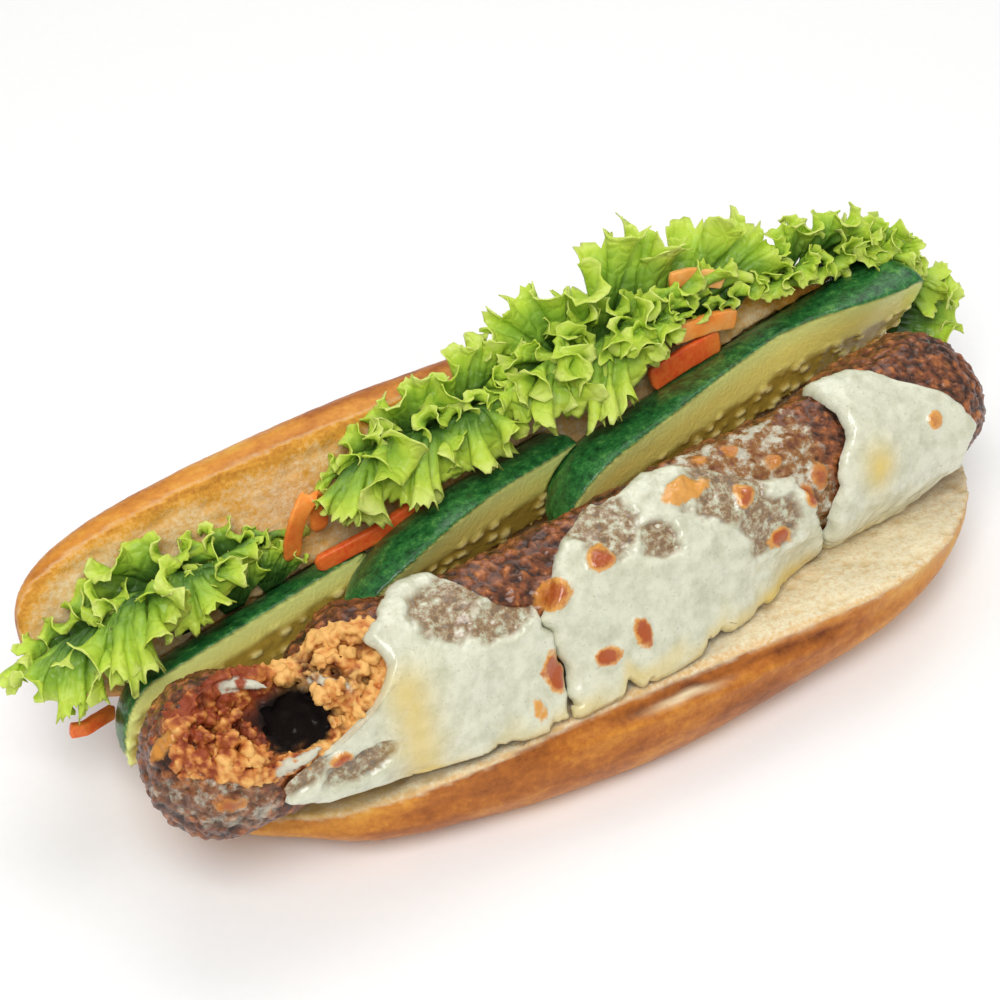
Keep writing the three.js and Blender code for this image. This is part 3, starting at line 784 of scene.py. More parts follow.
# ---------------------------------------------------------------- mince roll, as the others see it
@dataclass(frozen=True)
class MinceAxis:
    """The line the mince roll lies along, and its hand-shaped thickness.

    Attributes:
        start: Centre of its round left end.
        end: Centre of its round right end.
        radius: Its radius.
        pressed_depth: How far the cucumber presses its back in.
        torn_depth: How far its wall has dropped behind the hole.
    """

    start: tuple = (-105.0, -10.5, 44.0)
    end: tuple = (110.5, 12.0, 44.0)
    radius: float = 20.0
    pressed_depth: float = 4.4
    torn_depth: float = 7.5

    @property
    def length(self) -> float:
        """Returns the distance between the centres of the two round ends."""
        return float(np.linalg.norm(np.subtract(self.end, self.start)))

    @property
    def forward(self) -> Array:
        """Returns the direction along the roll."""
        return unit(np.subtract(self.end, self.start))

    @property
    def back(self) -> Array:
        """Returns the level direction square to it, towards the back half of the bread."""
        return np.array([-self.forward[1], self.forward[0], 0.0])

    def place(self, along: Array, angle: Array, radius: Array) -> Array:
        """Turns a place round the roll into a point.

        Args:
            along: Distance along the axis.
            angle: Angle from straight up towards the front.
            radius: Distance from the axis.

        Returns:
            Points in space.
        """
        along, angle, radius = np.broadcast_arrays(along, angle, radius)
        across = self.back * (-radius * np.sin(angle))[..., None]
        upward = np.array([0, 0, 1.0]) * (radius * np.cos(angle))[..., None]
        return np.array(self.start) + self.forward * along[..., None] + across + upward

    def measure(self, points: Array) -> tuple:
        """Returns along, angle and radius of points in space."""
        away = points - np.array(self.start)
        sideways, upward = away @ self.back, away[..., 2]
        return away @ self.forward, np.arctan2(-sideways, upward), np.hypot(sideways, upward)

    def thickness(self, along: Array, angle: Array) -> Array:
        """Returns the roll's radius at places along and round it."""
        swell = 0.5 * np.sin(along / 19 + 0.6) + 0.35 * np.sin(along / 9.5 + 2 * np.sin(angle))
        # The cucumber presses its back in, and its wall has dropped behind the hole.
        behind = ease(-0.1, -0.6, angle) * ease(-2.0, -1.5, angle)
        pressed = self.pressed_depth * ease(40, 60, along) * ease(196, 172, along) + 1.2 * hill(along, 131, 15)
        torn = self.torn_depth * ease(0.5, -0.15, angle) * ease(-2.0, -1.5, angle) * hill(along, 21, 11)
        return self.radius - 0.4 + swell + 0.3 * np.sin(3 * angle + along / 13) - behind * pressed - torn

    def distance(self, along: Array, angle: Array, radius: Array) -> Array:
        """Returns roughly how far places are outside the roll with its round ends."""
        over = np.maximum(np.maximum(-along, along - self.length), 0) / 0.96
        return np.hypot(radius, over) - self.thickness(np.clip(along, 0, self.length), angle)

    def cell_distance(self, cells: tuple) -> Array:
        """Returns roughly how far cells, given as x, y and z, are outside the roll."""
        x, y, z = cells
        away = [x - self.start[0], y - self.start[1], z - self.start[2]]
        sideways = away[0] * self.back[0] + away[1] * self.back[1]
        along = away[0] * self.forward[0] + away[1] * self.forward[1]
        return self.distance(along, np.arctan2(-sideways, away[2]), np.hypot(sideways, away[2]))


ROLL = MinceAxis()


# ---------------------------------------------------------------- cucumber spears
@dataclass
class CucumberSpear:
    """A wedge of cucumber: two cut faces that meet on its axis, skin outside, and domed ends.

    Attributes:
        name: The piece's name.
        node: The node it stands for.
        near: Axis end at the left.
        far: Axis end at the right.
        near_dome: Length of the dome at the near end.
        far_dome: Length of the dome at the far end.
        seed: Seed of its noise.
        radius: Radius of the skin.
        face_angle: Angle of the front cut face above the level.
        bed_edge: Where the seed bed ends, as a share of the radius.
        twist: How much steeper the front cut face is at the near end.
        closing: How much steeper it gets where the skin closes over the far end.
        slant: How far the skin runs on past the core at the far end, for each millimetre between them.
        back_angle: Angle of the hidden cut face.
        edge_cut: How far past the axis the two cut faces meet.
        step: Cell size of its mesh.
    """

    name: str
    node: str
    near: tuple
    far: tuple
    near_dome: float
    far_dome: float
    seed: int
    radius: float
    face_angle: float
    bed_edge: float
    twist: float = 0.0
    closing: float = 0.0
    slant: float = 0.0
    back_angle: float = math.radians(22)
    edge_cut: float = 0.5
    step: float = 0.7

    @property
    def length(self) -> float:
        """Returns the length of the axis."""
        return np.linalg.norm(np.subtract(self.far, self.near))

    def local(self, cells: tuple) -> tuple:
        """Returns distance along the axis, level distance back from it and distance above it."""
        x, y, z = cells
        near, far = np.array(self.near), np.array(self.far)
        axis = unit(far - near)
        back = unit(np.array([-axis[1], axis[0], 0.0]))
        up = unit(np.cross(axis, back))
        dx, dy, dz = x - near[0], y - near[1], z - near[2]
        return tuple(dx * v[0] + dy * v[1] + dz * v[2] for v in (axis, back, up))

    def skin_radius(self, along: Array) -> Array:
        """Returns the skin's distance from the axis, which falls to nothing at the domes."""
        share = np.clip(np.minimum(along / self.near_dome, (self.length - along) / self.far_dome), 0, 1)
        return self.radius * np.sqrt(np.maximum(1 - (1 - share) ** 2, 0))

    def slanted(self, along: Array, up: Array) -> Array:
        """Returns places along the axis, drawn back at the far end the higher they lie."""
        return along - self.slant * ease(0.6, 0.8, along / self.length) * np.maximum(up, 0)

    def distance(self, cells: tuple, grow: float = 0.0) -> Array:
        """Distances from the spear's skin and cut faces.

        Args:
            cells: Cells' x, y and z.
            grow: How much larger than the spear its space is.

        Returns:
            Distances, negative inside.
        """
        along, back, up = self.local(cells)
        share = along / self.length
        face_angle = self.face_angle + self.twist * ease(0.7, 0.1, share) + self.closing * ease(0.62, 1.0, share)
        bisector = (self.face_angle + self.back_angle) / 2
        back = back + self.edge_cut * math.cos(bisector)
        raised = up + self.edge_cut * math.sin(bisector)
        faces = [
            -back * np.sin(face_angle) + raised * np.cos(face_angle),
            back * math.sin(self.back_angle) - raised * math.cos(self.back_angle),
        ]
        slanted = self.slanted(along, raised)
        outside = np.hypot(back, raised) - self.skin_radius(slanted)
        slope = 1.0 + 0.8 * ease(0.5, 0.0, np.clip(along / self.near_dome, 0, 1))
        ends = np.maximum(-along, slanted - self.length)
        return np.maximum.reduce([outside / slope, *faces, ends]) - grow

    def build(self, neighbours: list) -> Shell:
        """Makes the spear's mesh.

        Args:
            neighbours: Spears that lie over this one and are cut from it.

        Returns:
            The shell with its masks.
        """
        low = np.minimum(self.near, self.far) - np.array([4, 12, 4.0])
        high = np.maximum(self.near, self.far) + np.array([4 + 24 * self.slant, 26, 26.0])
        block = Block(low, high, self.step)
        cells = block.axes()
        solid = np.maximum(self.distance(cells), GAP - ROLL.cell_distance(cells))
        for other in neighbours:
            solid = np.maximum(solid, -other.distance(cells, GAP))
        shell = block.skin(solid)
        self.dress(shell)
        return shell

    def dress(self, shell: Shell) -> None:
        """Sets the relief and the masks for skin, flesh, rind and seeds."""
        noise = Noise(self.seed)
        along, back, up = self.local(shell.points.T)
        out = np.hypot(back, up)
        limit = self.skin_radius(self.slanted(along, up))
        skin = ease(1.5, 0.6, limit - out)
        depth = out / self.radius
        core = ease(self.bed_edge, self.bed_edge - 0.22, depth + 0.05 * noise.soft(shell.points, 9.0)) * (1 - skin)
        near, _, share = noise.cells(np.stack([along / 1.7, out, 0 * out], 1), 2.9)
        seed = ease(0.42, 0.26, near) * np.minimum(2.5 * core, 1) * (share > 0.1)
        shell.masks = {
            "skin": skin,
            "core": core,
            "seed": seed * 0.9,
            "rind": ease(8.5, 1.8, limit - out) * (1 - skin),
        }
        relief = 0.25 * skin * noise.rough(shell.points, 11.0, 3)
        relief += skin * 0.22 * ease(0.35, 0.1, noise.cells(shell.points, 6.5)[0])
        relief += (1 - skin) * (0.45 * seed - 0.35 * core * ease(0.3, 0.6, near))
        relief += (1 - skin) * 0.12 * noise.rough(shell.points, 5.0, 3)
        shell.points = shell.points + shell.normals() * relief[:, None]


def spears() -> list:
    """Returns the three spears, the rightmost first."""
    return [
        CucumberSpear(
            "cucumber_spear_right", "cucumber_right", (1, 13.8, 39.8), (125, 41.3, 44.8), 26, 11, 31,
            21.5, math.radians(77), 0.5, 0.24, 0.5, 0.5),
        CucumberSpear(
            "cucumber_spear_middle", "cucumber_middle", (-60, 12.8, 38.6), (20, 31.6, 36.6), 42, 6, 32,
            20.0, math.radians(88), 0.55, 0.2),
        CucumberSpear(
            "cucumber_spear_left", "cucumber_left", (-121, 12.8, 20.8), (-40, 26.8, 27.8), 15, 6, 33,
            20.0, math.radians(74), 0.76),
    ]


# ---------------------------------------------------------------- bread
@dataclass
class Baguette:
    """The split roll: a front half that lies down and a back half that leans open.

    Attributes:
        step: Cell size of its mesh.
        stations: The front half from left to right, as x, rim y and z, widest y and z, underside z
            and back y.
        back_length: Length of the back half.
        back_centre: Its middle along x.
        tilt: Angle of its cut face above the level.
        back_width: Width of its cut face.
        back_depth: How deep its crust domes behind the cut face.
        bulge: How far the crust swells past the cut rim.
        bluntness: A small number makes blunt ends.
    """

    step: float = 1.2
    back_length: float = 256.0
    back_centre: float = -7.0
    tilt: float = BACK_TILT
    back_width: float = 55.0
    back_depth: float = 27.0
    bulge: float = 1.16
    bluntness: float = 0.3
    stations: tuple = (
        (-117, 7, 19, 5.5, 16.5, 14, 16),
        (-112, -1, 18.5, -2.5, 15.5, 11, 25),
        (-104, -10, 19, -12, 15.5, 8.5, 32),
        (-90, -20.5, 21, -21.5, 15, 7, 37),
        (-76, -27, 23.5, -29, 14.5, 4, 40),
        (-48, -33, 28.5, -35, 14, 1, 42),
        (-18, -31.5, 30, -38, 14, -2, 44),
        (12, -31, 30, -38.5, 14, -1.5, 44),
        (45, -32, 30, -35.5, 15, 1.5, 43),
        (76, -31.5, 30, -32, 17, 5.5, 41),
        (92, -27, 29, -27, 18.5, 9, 38),
        (104, -21, 28, -20.5, 19, 11.5, 34),
        (116, -11, 26.5, -10.5, 19.5, 14, 26),
        (123.5, 1, 24.5, 1, 20.5, 17.5, 14),
    )

    def rails(self) -> list:
        """Returns the points of the nine lines that run along the front half, rim to hinge."""
        table = np.array(self.stations, float)
        x, rim_y, rim_z, wide_y, wide_z, under_z, back_y = table.T
        pairs = [
            (rim_y, rim_z),
            (wide_y + 0.8, mix(rim_z, wide_z, 0.45)),
            (wide_y, wide_z),
            (mix(wide_y, back_y, 0.07), mix(wide_z, under_z, 0.72)),
            (mix(wide_y, back_y, 0.25), under_z),
            (mix(wide_y, back_y, 0.75), under_z),
            (mix(wide_y, back_y, 0.94), mix(wide_z, under_z, 0.6)),
            (back_y, wide_z - 1),
            (np.minimum(HINGE_Y + 3, mix(rim_y, back_y, 0.8)), np.minimum(HINGE_Z, rim_z)),
        ]
        return [np.stack([x, y, z], 1) for y, z in pairs]

    def front_rings(self) -> Array:
        """Returns the front half as rings of points."""
        share = np.linspace(0, 1, 110)
        lines = np.stack([curve_through(rail, share) for rail in self.rails()], 1)
        return np.stack([curve_through(section, np.linspace(0, 1, 70)) for section in lines])

    def back_rings(self) -> Array:
        """Returns the back half as rings of points."""
        swell = math.acos(1 / self.bulge)
        u = np.sin((math.pi / 2) * (2 * np.linspace(0, 1, 90) - 1) * 0.985)[:, None]
        scale = np.power(1 - u * u, self.bluntness)
        equator = self.back_depth * 0.3 * scale
        angle = np.linspace(-swell, math.pi + swell, 80)[None, :]
        reach = np.where(np.sin(angle) < 0, equator / math.sin(swell), self.back_depth * scale - equator)
        across = (self.back_width / 2) * (1 + self.bulge * scale * np.cos(angle))
        deep = equator + reach * np.sin(angle)
        return np.stack([
            np.broadcast_to((self.back_length / 2) * u + self.back_centre, across.shape),
            HINGE_Y + across * math.cos(self.tilt) + deep * math.sin(self.tilt),
            HINGE_Z + across * math.sin(self.tilt) - deep * math.cos(self.tilt),
        ], -1)

    def build(self, cucumbers: list) -> Shell:
        """Makes the loaf's mesh, hollowed for what lies in it.

        Args:
            cucumbers: The spears that press into it.

        Returns:
            The shell with its masks.
        """
        block = Block((-141, -44, -3), (128, 78, 82), self.step)
        front = block.distance_to(self.front_rings(), 5.0)
        back = block.distance_to(self.back_rings(), 5.0)
        cells = block.axes()
        solid = soft_join(front, back, 2.2)
        pressed = GAP - ROLL.cell_distance(cells)
        for spear in cucumbers:
            pressed = np.maximum(pressed, -spear.distance(cells, GAP))
        shell = block.skin(np.maximum(np.maximum(solid, pressed), 0.0 - cells[2]))
        self.dress(shell, cucumbers)
        return shell

    def rim_at(self, x: Array) -> tuple:
        """Returns y and z of the front rim at places along the loaf."""
        line = curve_through(self.rails()[0], np.linspace(0, 1, 200))
        return np.interp(x, line[:, 0], line[:, 1]), np.interp(x, line[:, 0], line[:, 2])

    def dress(self, shell: Shell, cucumbers: list) -> None:
        """Sets the relief and masks of crust and crumb."""
        p = shell.points
        noise = Noise(11)
        x, y, z = p.T
        rim_y, rim_z = self.rim_at(x)
        share = np.clip((y - rim_y) / np.maximum(HINGE_Y - rim_y, 4.0), 0, 1)
        under_face = mix(rim_z, np.minimum(HINGE_Z, rim_z), share) - z
        across = (y - HINGE_Y) * math.cos(self.tilt) + (z - HINGE_Z) * math.sin(self.tilt)
        deep = (y - HINGE_Y) * math.sin(self.tilt) - (z - HINGE_Z) * math.cos(self.tilt)
        u = np.clip((x - self.back_centre) / (self.back_length / 2), -0.999, 0.999)
        scale = np.power(1 - u * u, self.bluntness)
        top_rim = (self.back_width / 2) * (1 + scale)
        ragged = 0.5 * noise.rough(p, 5.0, 3)
        front_face = ease(1.5, 0.5, under_face + ragged) * ease(0.3, -0.6, deep) * (y > rim_y - 1.5)
        back_face = ease(1.4, 0.5, deep + ragged) * (across > -1) * (deep > -1.5)
        along, angle, radius = ROLL.measure(p)
        pressed = ease(1.6, 0.8, ROLL.distance(along, angle, radius)) * (z > 3)
        for spear in cucumbers:
            pressed = np.maximum(pressed, ease(1.6, 0.8, spear.distance(p.T)) * (deep < 8))
        crumb = np.clip(np.maximum.reduce([front_face, back_face, pressed]), 0, 1)
        crust = 1 - crumb
        on_back = ease(-2.0, 1.0, deep)
        below = np.hypot(y - rim_y, z - rim_z)
        # Crumb: open pores of 1.5 to 4 mm between torn walls, and a soft swell.
        near_a, _, share_a = noise.cells(p * [0.8, 1, 1], 3.4)
        near_b, _, share_b = noise.cells(p, 1.9)
        pore = ease(0.52, 0.2, near_a) * (share_a > 0.45) + 0.6 * ease(0.5, 0.2, near_b) * (share_b > 0.4)
        relief = crumb * (0.9 * noise.rough(p, 13.0, 3) - 0.75 * np.clip(pore, 0, 1.3) + 0.3 * noise.rough(p, 2.6, 2))
        # Crust: long soft wrinkles, a groove under the front rim, and a lifted lip below it.
        relief += crust * (0.45 * noise.rough(p * [0.6, 1, 1], 12.0, 3) + 0.12 * noise.rough(p, 3.0, 2))
        centre = 4.8 + 1.8 * noise.soft(p * [1, 0, 0], 23.0) + 0.8 * noise.soft(p * [1, 0, 0], 8.0)
        on_groove = ease(-30, -10, x) * ease(66, 46, x) * crust * (1 - on_back)
        groove = hill(below - centre, 0, 1.25) * on_groove
        lip = hill(below - centre, 3.4, 2.0) * on_groove
        groove = groove * np.clip(0.75 + 0.9 * noise.soft(p * [1, 0, 0], 15.0), 0, 1.2)
        relief += 0.9 * lip - 1.3 * groove
        split = hill(x, 10, 9.0) * hill(below - centre, 1.2, 0.9)
        shell.points = p + shell.normals() * relief[:, None]
        shell.points[:, 2] = np.maximum(shell.points[:, 2], 0.0)
        height = np.clip(z / 30.0, 0, 1)
        front_bake = 0.52 - 0.05 * ease(7, 2, below) + 0.1 * ease(6, 16, below) - 0.3 * ease(20, 30, below)
        back_bake = 0.30 + 0.22 * ease(3, 16, deep) + 0.15 * ease(30, 10, across)
        # Painted shade: the groove under the front rim is darkened on top of the baked colour.
        bake_and_shade = mix(front_bake, back_bake, on_back) + 0.34 * groove + 0.14 * noise.rough(p * [0.5, 1, 1], 26.0, 3)
        bake_and_shade = bake_and_shade - (0.2 * (1 - height) + 0.27 * (ease(-45, -108, x) + ease(35, 100, x))) * (1 - on_back)
        edge_toast = ease(5.5, 0.6, top_rim - across) * on_back + 0.7 * ease(2.2, 0.4, below) * (1 - on_back)
        toast = mix(0.05, 0.66, on_back) + 0.45 * edge_toast
        toast += (0.10 + 0.5 * on_back) * noise.rough(p * [0.6, 1, 1], 12.0, 5, 0.6)
        stain = np.clip(self.oil_at(along, p, noise), 0, 1)
        shell.masks = {
            "crust": crust,
            "bake_and_shade": np.clip(bake_and_shade, 0, 1),
            "toast": np.clip(toast, 0, 1) * crumb,
            "oil": stain * crumb * (1 - on_back),
            "pale": np.clip(split * crust, 0, 1),
            # Painted shade in the pores.
            "pore": np.clip(pore, 0, 1) * 0.8 * crumb,
        }

    @staticmethod
    def oil_at(along: Array, p: Array, noise: Noise) -> Array:
        """Returns how far yellow cheese oil has soaked the crumb beside the filling."""
        beside = ease(9.0, 0.0, ROLL.measure(p)[2] - 23.0)
        where = 0.75 * ease(60, 30, along) + 0.45 * hill(along, 150, 12) + 0.12
        return beside * where * (0.65 + 0.8 * noise.rough(p, 8.0, 3))


# ---------------------------------------------------------------- mince roll
@dataclass
class MinceRoll:
    """The grilled mince roll: its left end is torn open, with a deep hole between crumbs.

    Attributes:
        step: Cell size of its mesh.
        fine_step: Cell size of the torn inside.
        tear_along: Middle of the tear along the roll.
        tear_angle: Its angle from straight up towards the front.
        tear_size: Length, width and depth of the torn bowl.
        hole_along: Middle of the hole along the roll.
        hole_angle: Its angle.
        hole_radius: Distance of its middle from the axis.
        hole_width: Its width.
        crumbs: Clumps of torn mince: along, angle, distance from the axis and size.
        lumps: How many lumps each clump is made of.
        strands: Strings of curd, each as points its middle passes through.
    """

    step: float = 0.85
    fine_step: float = 0.55
    tear_along: float = 16.0
    tear_angle: float = 0.42
    tear_size: tuple = (54.0, 30.0, 14.0)
    hole_along: float = 17.5
    hole_angle: float = 0.92
    hole_radius: float = 9.0
    hole_width: float = 15.5
    crumbs: tuple = (
        (25, 0.05, 10.5, 4.2), (32, 0.0, 13, 4.2), (27, 0.45, 13, 4.8), (34, 0.45, 15, 4.6),
        (29, 0.8, 15, 4.8), (36, 0.95, 14.5, 4.4), (26, 0.3, 9.5, 4.6), (25, 1.1, 15.5, 3.4),
        (-14, -0.1, 14, 4), (-7, -0.2, 14.5, 4.4), (0, -0.3, 13.5, 4.2), (-8, 0.25, 13.5, 4.2),
        (-6, 0.75, 14.5, 4.4), (1, 0.95, 15.5, 4.2), (-12, 0.6, 15.5, 3.6), (1, 0.5, 10.5, 4),
    )
    lumps: int = 34
    strands: tuple = (
        ((-101, -5, 59.5), (-96, -6, 59), (-91, -9, 58)),
        ((-97, -27.5, 50.5), (-92, -28.5, 52), (-86, -28, 53.5)),
        ((-80, -12, 58.5), (-77, -16, 58.5), (-74, -18, 57)),
    )

    def strand_lines(self) -> list:
        """Returns the middle line of each string of curd."""
        return [curve_through(list(strand), np.linspace(0, 1, 24)) for strand in self.strands]

    @staticmethod
    def oval(cells: tuple, centre: Array, size: tuple, turn: float) -> Array:
        """Distances from an oval that lies along the roll.

        Args:
            cells: Cells' x, y and z.
            centre: Its middle.
            size: Its radii along the roll, across it and outward.
            turn: Angle of its outward axis from straight up towards the front.

        Returns:
            Rough distances, negative inside.
        """
        outward = -math.sin(turn) * ROLL.back + math.cos(turn) * np.array([0, 0, 1.0])
        across = np.cross(outward, ROLL.forward)
        x, y, z = cells
        total = 0.0
        for axis, radius in zip((ROLL.forward, across, outward), size):
            part = (x - centre[0]) * axis[0] + (y - centre[1]) * axis[1] + (z - centre[2]) * axis[2]
            total = total + (part / radius) ** 2
        return (np.sqrt(total) - 1) * min(size)

    def bowl(self, cells: tuple, grow: float) -> Array:
        """Returns the distances of cells from the torn bowl, made larger by grow."""
        length, width, depth = self.tear_size
        centre = ROLL.place(self.tear_along, self.tear_angle, ROLL.radius + 1)
        size = (length / 2 + grow, width / 2 + grow, depth + grow)
        return self.oval(cells, centre, size, self.tear_angle)

    def hole(self, cells: tuple) -> Array:
        """Returns the distances of cells from the deep hole."""
        centre = ROLL.place(self.hole_along, self.hole_angle, self.hole_radius)
        half = self.hole_width / 2
        space = self.oval(cells, centre, (half, half * 0.95, half * 1.15), self.hole_angle)
        near = np.nonzero(np.abs(space) < 4)
        spots = np.stack([axis.ravel()[index] for axis, index in zip(cells, near)], 1)
        space[near] += 3.6 * Noise(27).rough(spots, 7.0, 3, 0.6)
        return space

    def build_roll(self) -> Shell:
        """Makes the roll without its torn inside and returns the shell with its masks."""
        block = Block((-131, -37, 20), (137, 39, 68), self.step)
        cells = block.axes()
        solid = np.maximum(ROLL.cell_distance(cells), -self.bowl(cells, 3.0))
        shell = block.skin(np.maximum(solid, -self.hole(cells)))
        self.dress(shell, False)
        return shell

    def build_torn(self) -> Shell:
        """Makes the torn inside with its crumbs and returns the shell with its masks."""
        block = Block((-130, -37, 26), (-50, 14, 68), self.fine_step)
        cells = x, y, z = block.axes()
        roll = ROLL.cell_distance(cells)
        solid = np.maximum(np.maximum(roll, -self.bowl(cells, 0.0)), self.bowl(cells, 4.2))
        draw = np.random.default_rng(5)
        for clump_along, clump_angle, clump_radius, size in self.crumbs:
            for _ in range(self.lumps):
                spread = draw.normal(size=3) * [0.72 * size, 0.66 * size, 0.5 * size]
                centre = ROLL.place(clump_along, clump_angle, clump_radius)
                centre = centre + spread[0] * ROLL.forward + spread[1] * ROLL.back + [0, 0, spread[2]]
                radius = size * draw.uniform(0.16, 0.42)
                shape = radius * draw.uniform(0.7, 1.5, 3)
                if ROLL.distance(*ROLL.measure(centre)) > -0.3 * radius:
                    continue
                low = np.maximum(((centre - 1.7 * radius - 1.5 - block.low) / block.step).astype(int), 0)
                top = np.maximum(((centre + 1.7 * radius + 1.5 - block.low) / block.step).astype(int) + 1, 1)
                part = tuple(slice(first, last) for first, last in zip(low, top))
                local = (x[part[0]], y[:, part[1]], z[:, :, part[2]])
                if min(axis.size for axis in local) == 0:
                    continue
                lump = self.oval(local, centre, tuple(shape), draw.uniform(0, 3))
                solid[part] = soft_join(solid[part], lump, 0.5)
        solid = np.maximum(solid, -self.hole(cells))
        for line in self.strand_lines():
            nearest = np.full(block.shape, 9.0, np.float32)
            for k, point in enumerate(line):
                away = (x - point[0]) ** 2 + (y - point[1]) ** 2 + ((z - point[2]) * 1.4) ** 2
                nearest = np.minimum(nearest, np.sqrt(away) - 1.2 * math.sin(math.pi * (k + 1.5) / 27))
            solid = soft_join(solid, nearest, 0.8)
        shell = block.skin(solid)
        self.dress(shell, True)
        return shell

    def dress(self, shell: Shell, inside: bool) -> None:
        """Sets the relief and the masks of browned outside and torn inside.

        Args:
            shell: The shell.
            inside: Whether it is the torn inside.
        """
        noise = Noise(21)
        p = shell.points
        along, angle, radius = ROLL.measure(p)
        outside = ROLL.distance(along, angle, radius)
        in_tear = np.maximum(ease(1.25, 1.05, np.abs(angle - 0.35)), ease(15, 13, radius))
        in_tear = ease(38, 33, np.abs(along - self.tear_along)) * in_tear
        torn = np.maximum(ease(-0.7, -1.8, outside + 0.5 * noise.soft(p, 3.0)) * in_tear, 1.0 if inside else 0.0)
        # Outside, grains of 3.1 and 1.8 mm with cracks between them; inside, crumbs of 1.2 to 3 mm
        # on chunks of 8.5 mm.
        near_a, next_a, share_a = noise.cells(p, 3.1)
        near_b = noise.cells(p + 50, 1.8)[0]
        crack = ease(0.16, 0.02, next_a - near_a)
        grains = 0.6 * (0.6 - near_a) + 0.4 * (0.6 - near_b) - 0.25 * crack
        relief = (1 - torn) * (1.5 * grains + 1.5 * noise.rough(p, 9.0, 4, 0.6))
        crumbs = 0.9 * (0.55 - near_b) + 0.75 * (0.55 - noise.cells(p + 90, 1.25)[0])
        crumbs = crumbs + 0.9 * noise.rough(p, 3.0, 4, 0.7)
        chunks = noise.rough(p + 30, 8.5, 3, 0.55)
        relief += torn * (crumbs * (1.2 if inside else 0.8) + 2.4 * chunks)
        blisters, burnt = BROWNING.read(along, angle, radius)
        relief += 1.1 * blisters * (1 - torn)
        curd = np.zeros(len(p))
        for line in self.strand_lines():
            away = np.min(np.linalg.norm(p[:, None] - line[None], axis=2), axis=1)
            curd = np.maximum(curd, ease(2.0, 1.3, away))
        hole_at = ROLL.place(self.hole_along, self.hole_angle, self.hole_radius)
        to_hole = np.linalg.norm(p - hole_at, axis=1)
        # The hole and the space near the axis are painted dark as shade, and their relief is flattened.
        hollow_shade = np.maximum(ease(12.5, 7.5, to_hole + 3.5 * chunks), ease(10.0, 7.0, radius))
        shell.points = p + shell.normals() * (relief * (1 - 0.7 * curd) * (1 - 0.7 * hollow_shade * torn))[:, None]
        # Right of the hole the crumbs are pale, left of it they are redder.
        right = ease(13, 22, along)
        tone = -0.08 + 0.5 * right + 0.3 * share_a + 0.2 * noise.rough(p, 5.0, 3)
        tone -= 0.25 * ease(0.1, -0.3, angle) * (1 - right)
        # Inside the tear the tone also follows the relief: painted light on the crumb tops, painted shade between them.
        tone += 0.25 * ease(0.6, 1.1, angle) * ease(14, 2, along) + torn * (0.6 * crumbs + 0.7 * chunks - 0.08)
        film = np.clip(
            0.55 * ease(14, 2, along) * ease(0.35, 0.9, angle) * ease(2.4, 1.6, angle)
            + ease(126, 140, along) * ease(178, 168, along) * ease(-0.5, 0.0, angle)
            + 0.3 * ease(205, 215, along) * ease(0.3, 0.8, angle),
            0, 1)
        shell.masks = {
            "torn": torn,
            "tone": np.clip(tone, 0, 1),
            # Painted shade also fills the low places between chunks.
            "hollow_shade": np.maximum(hollow_shade, 0.8 * ease(-0.05, -0.45, chunks)) * torn,
            "film": film * (1 - torn),
            "orange": blisters * (1 - torn),
            "char": burnt,
            # Painted light on the grain tops and painted shade in the cracks between them.
            "relief": np.clip(0.5 + grains * 1.3, 0, 1),
            "curd": curd * ease(0.2, 0.4, 0.5 + noise.rough(p, 3.0, 3)),
        }


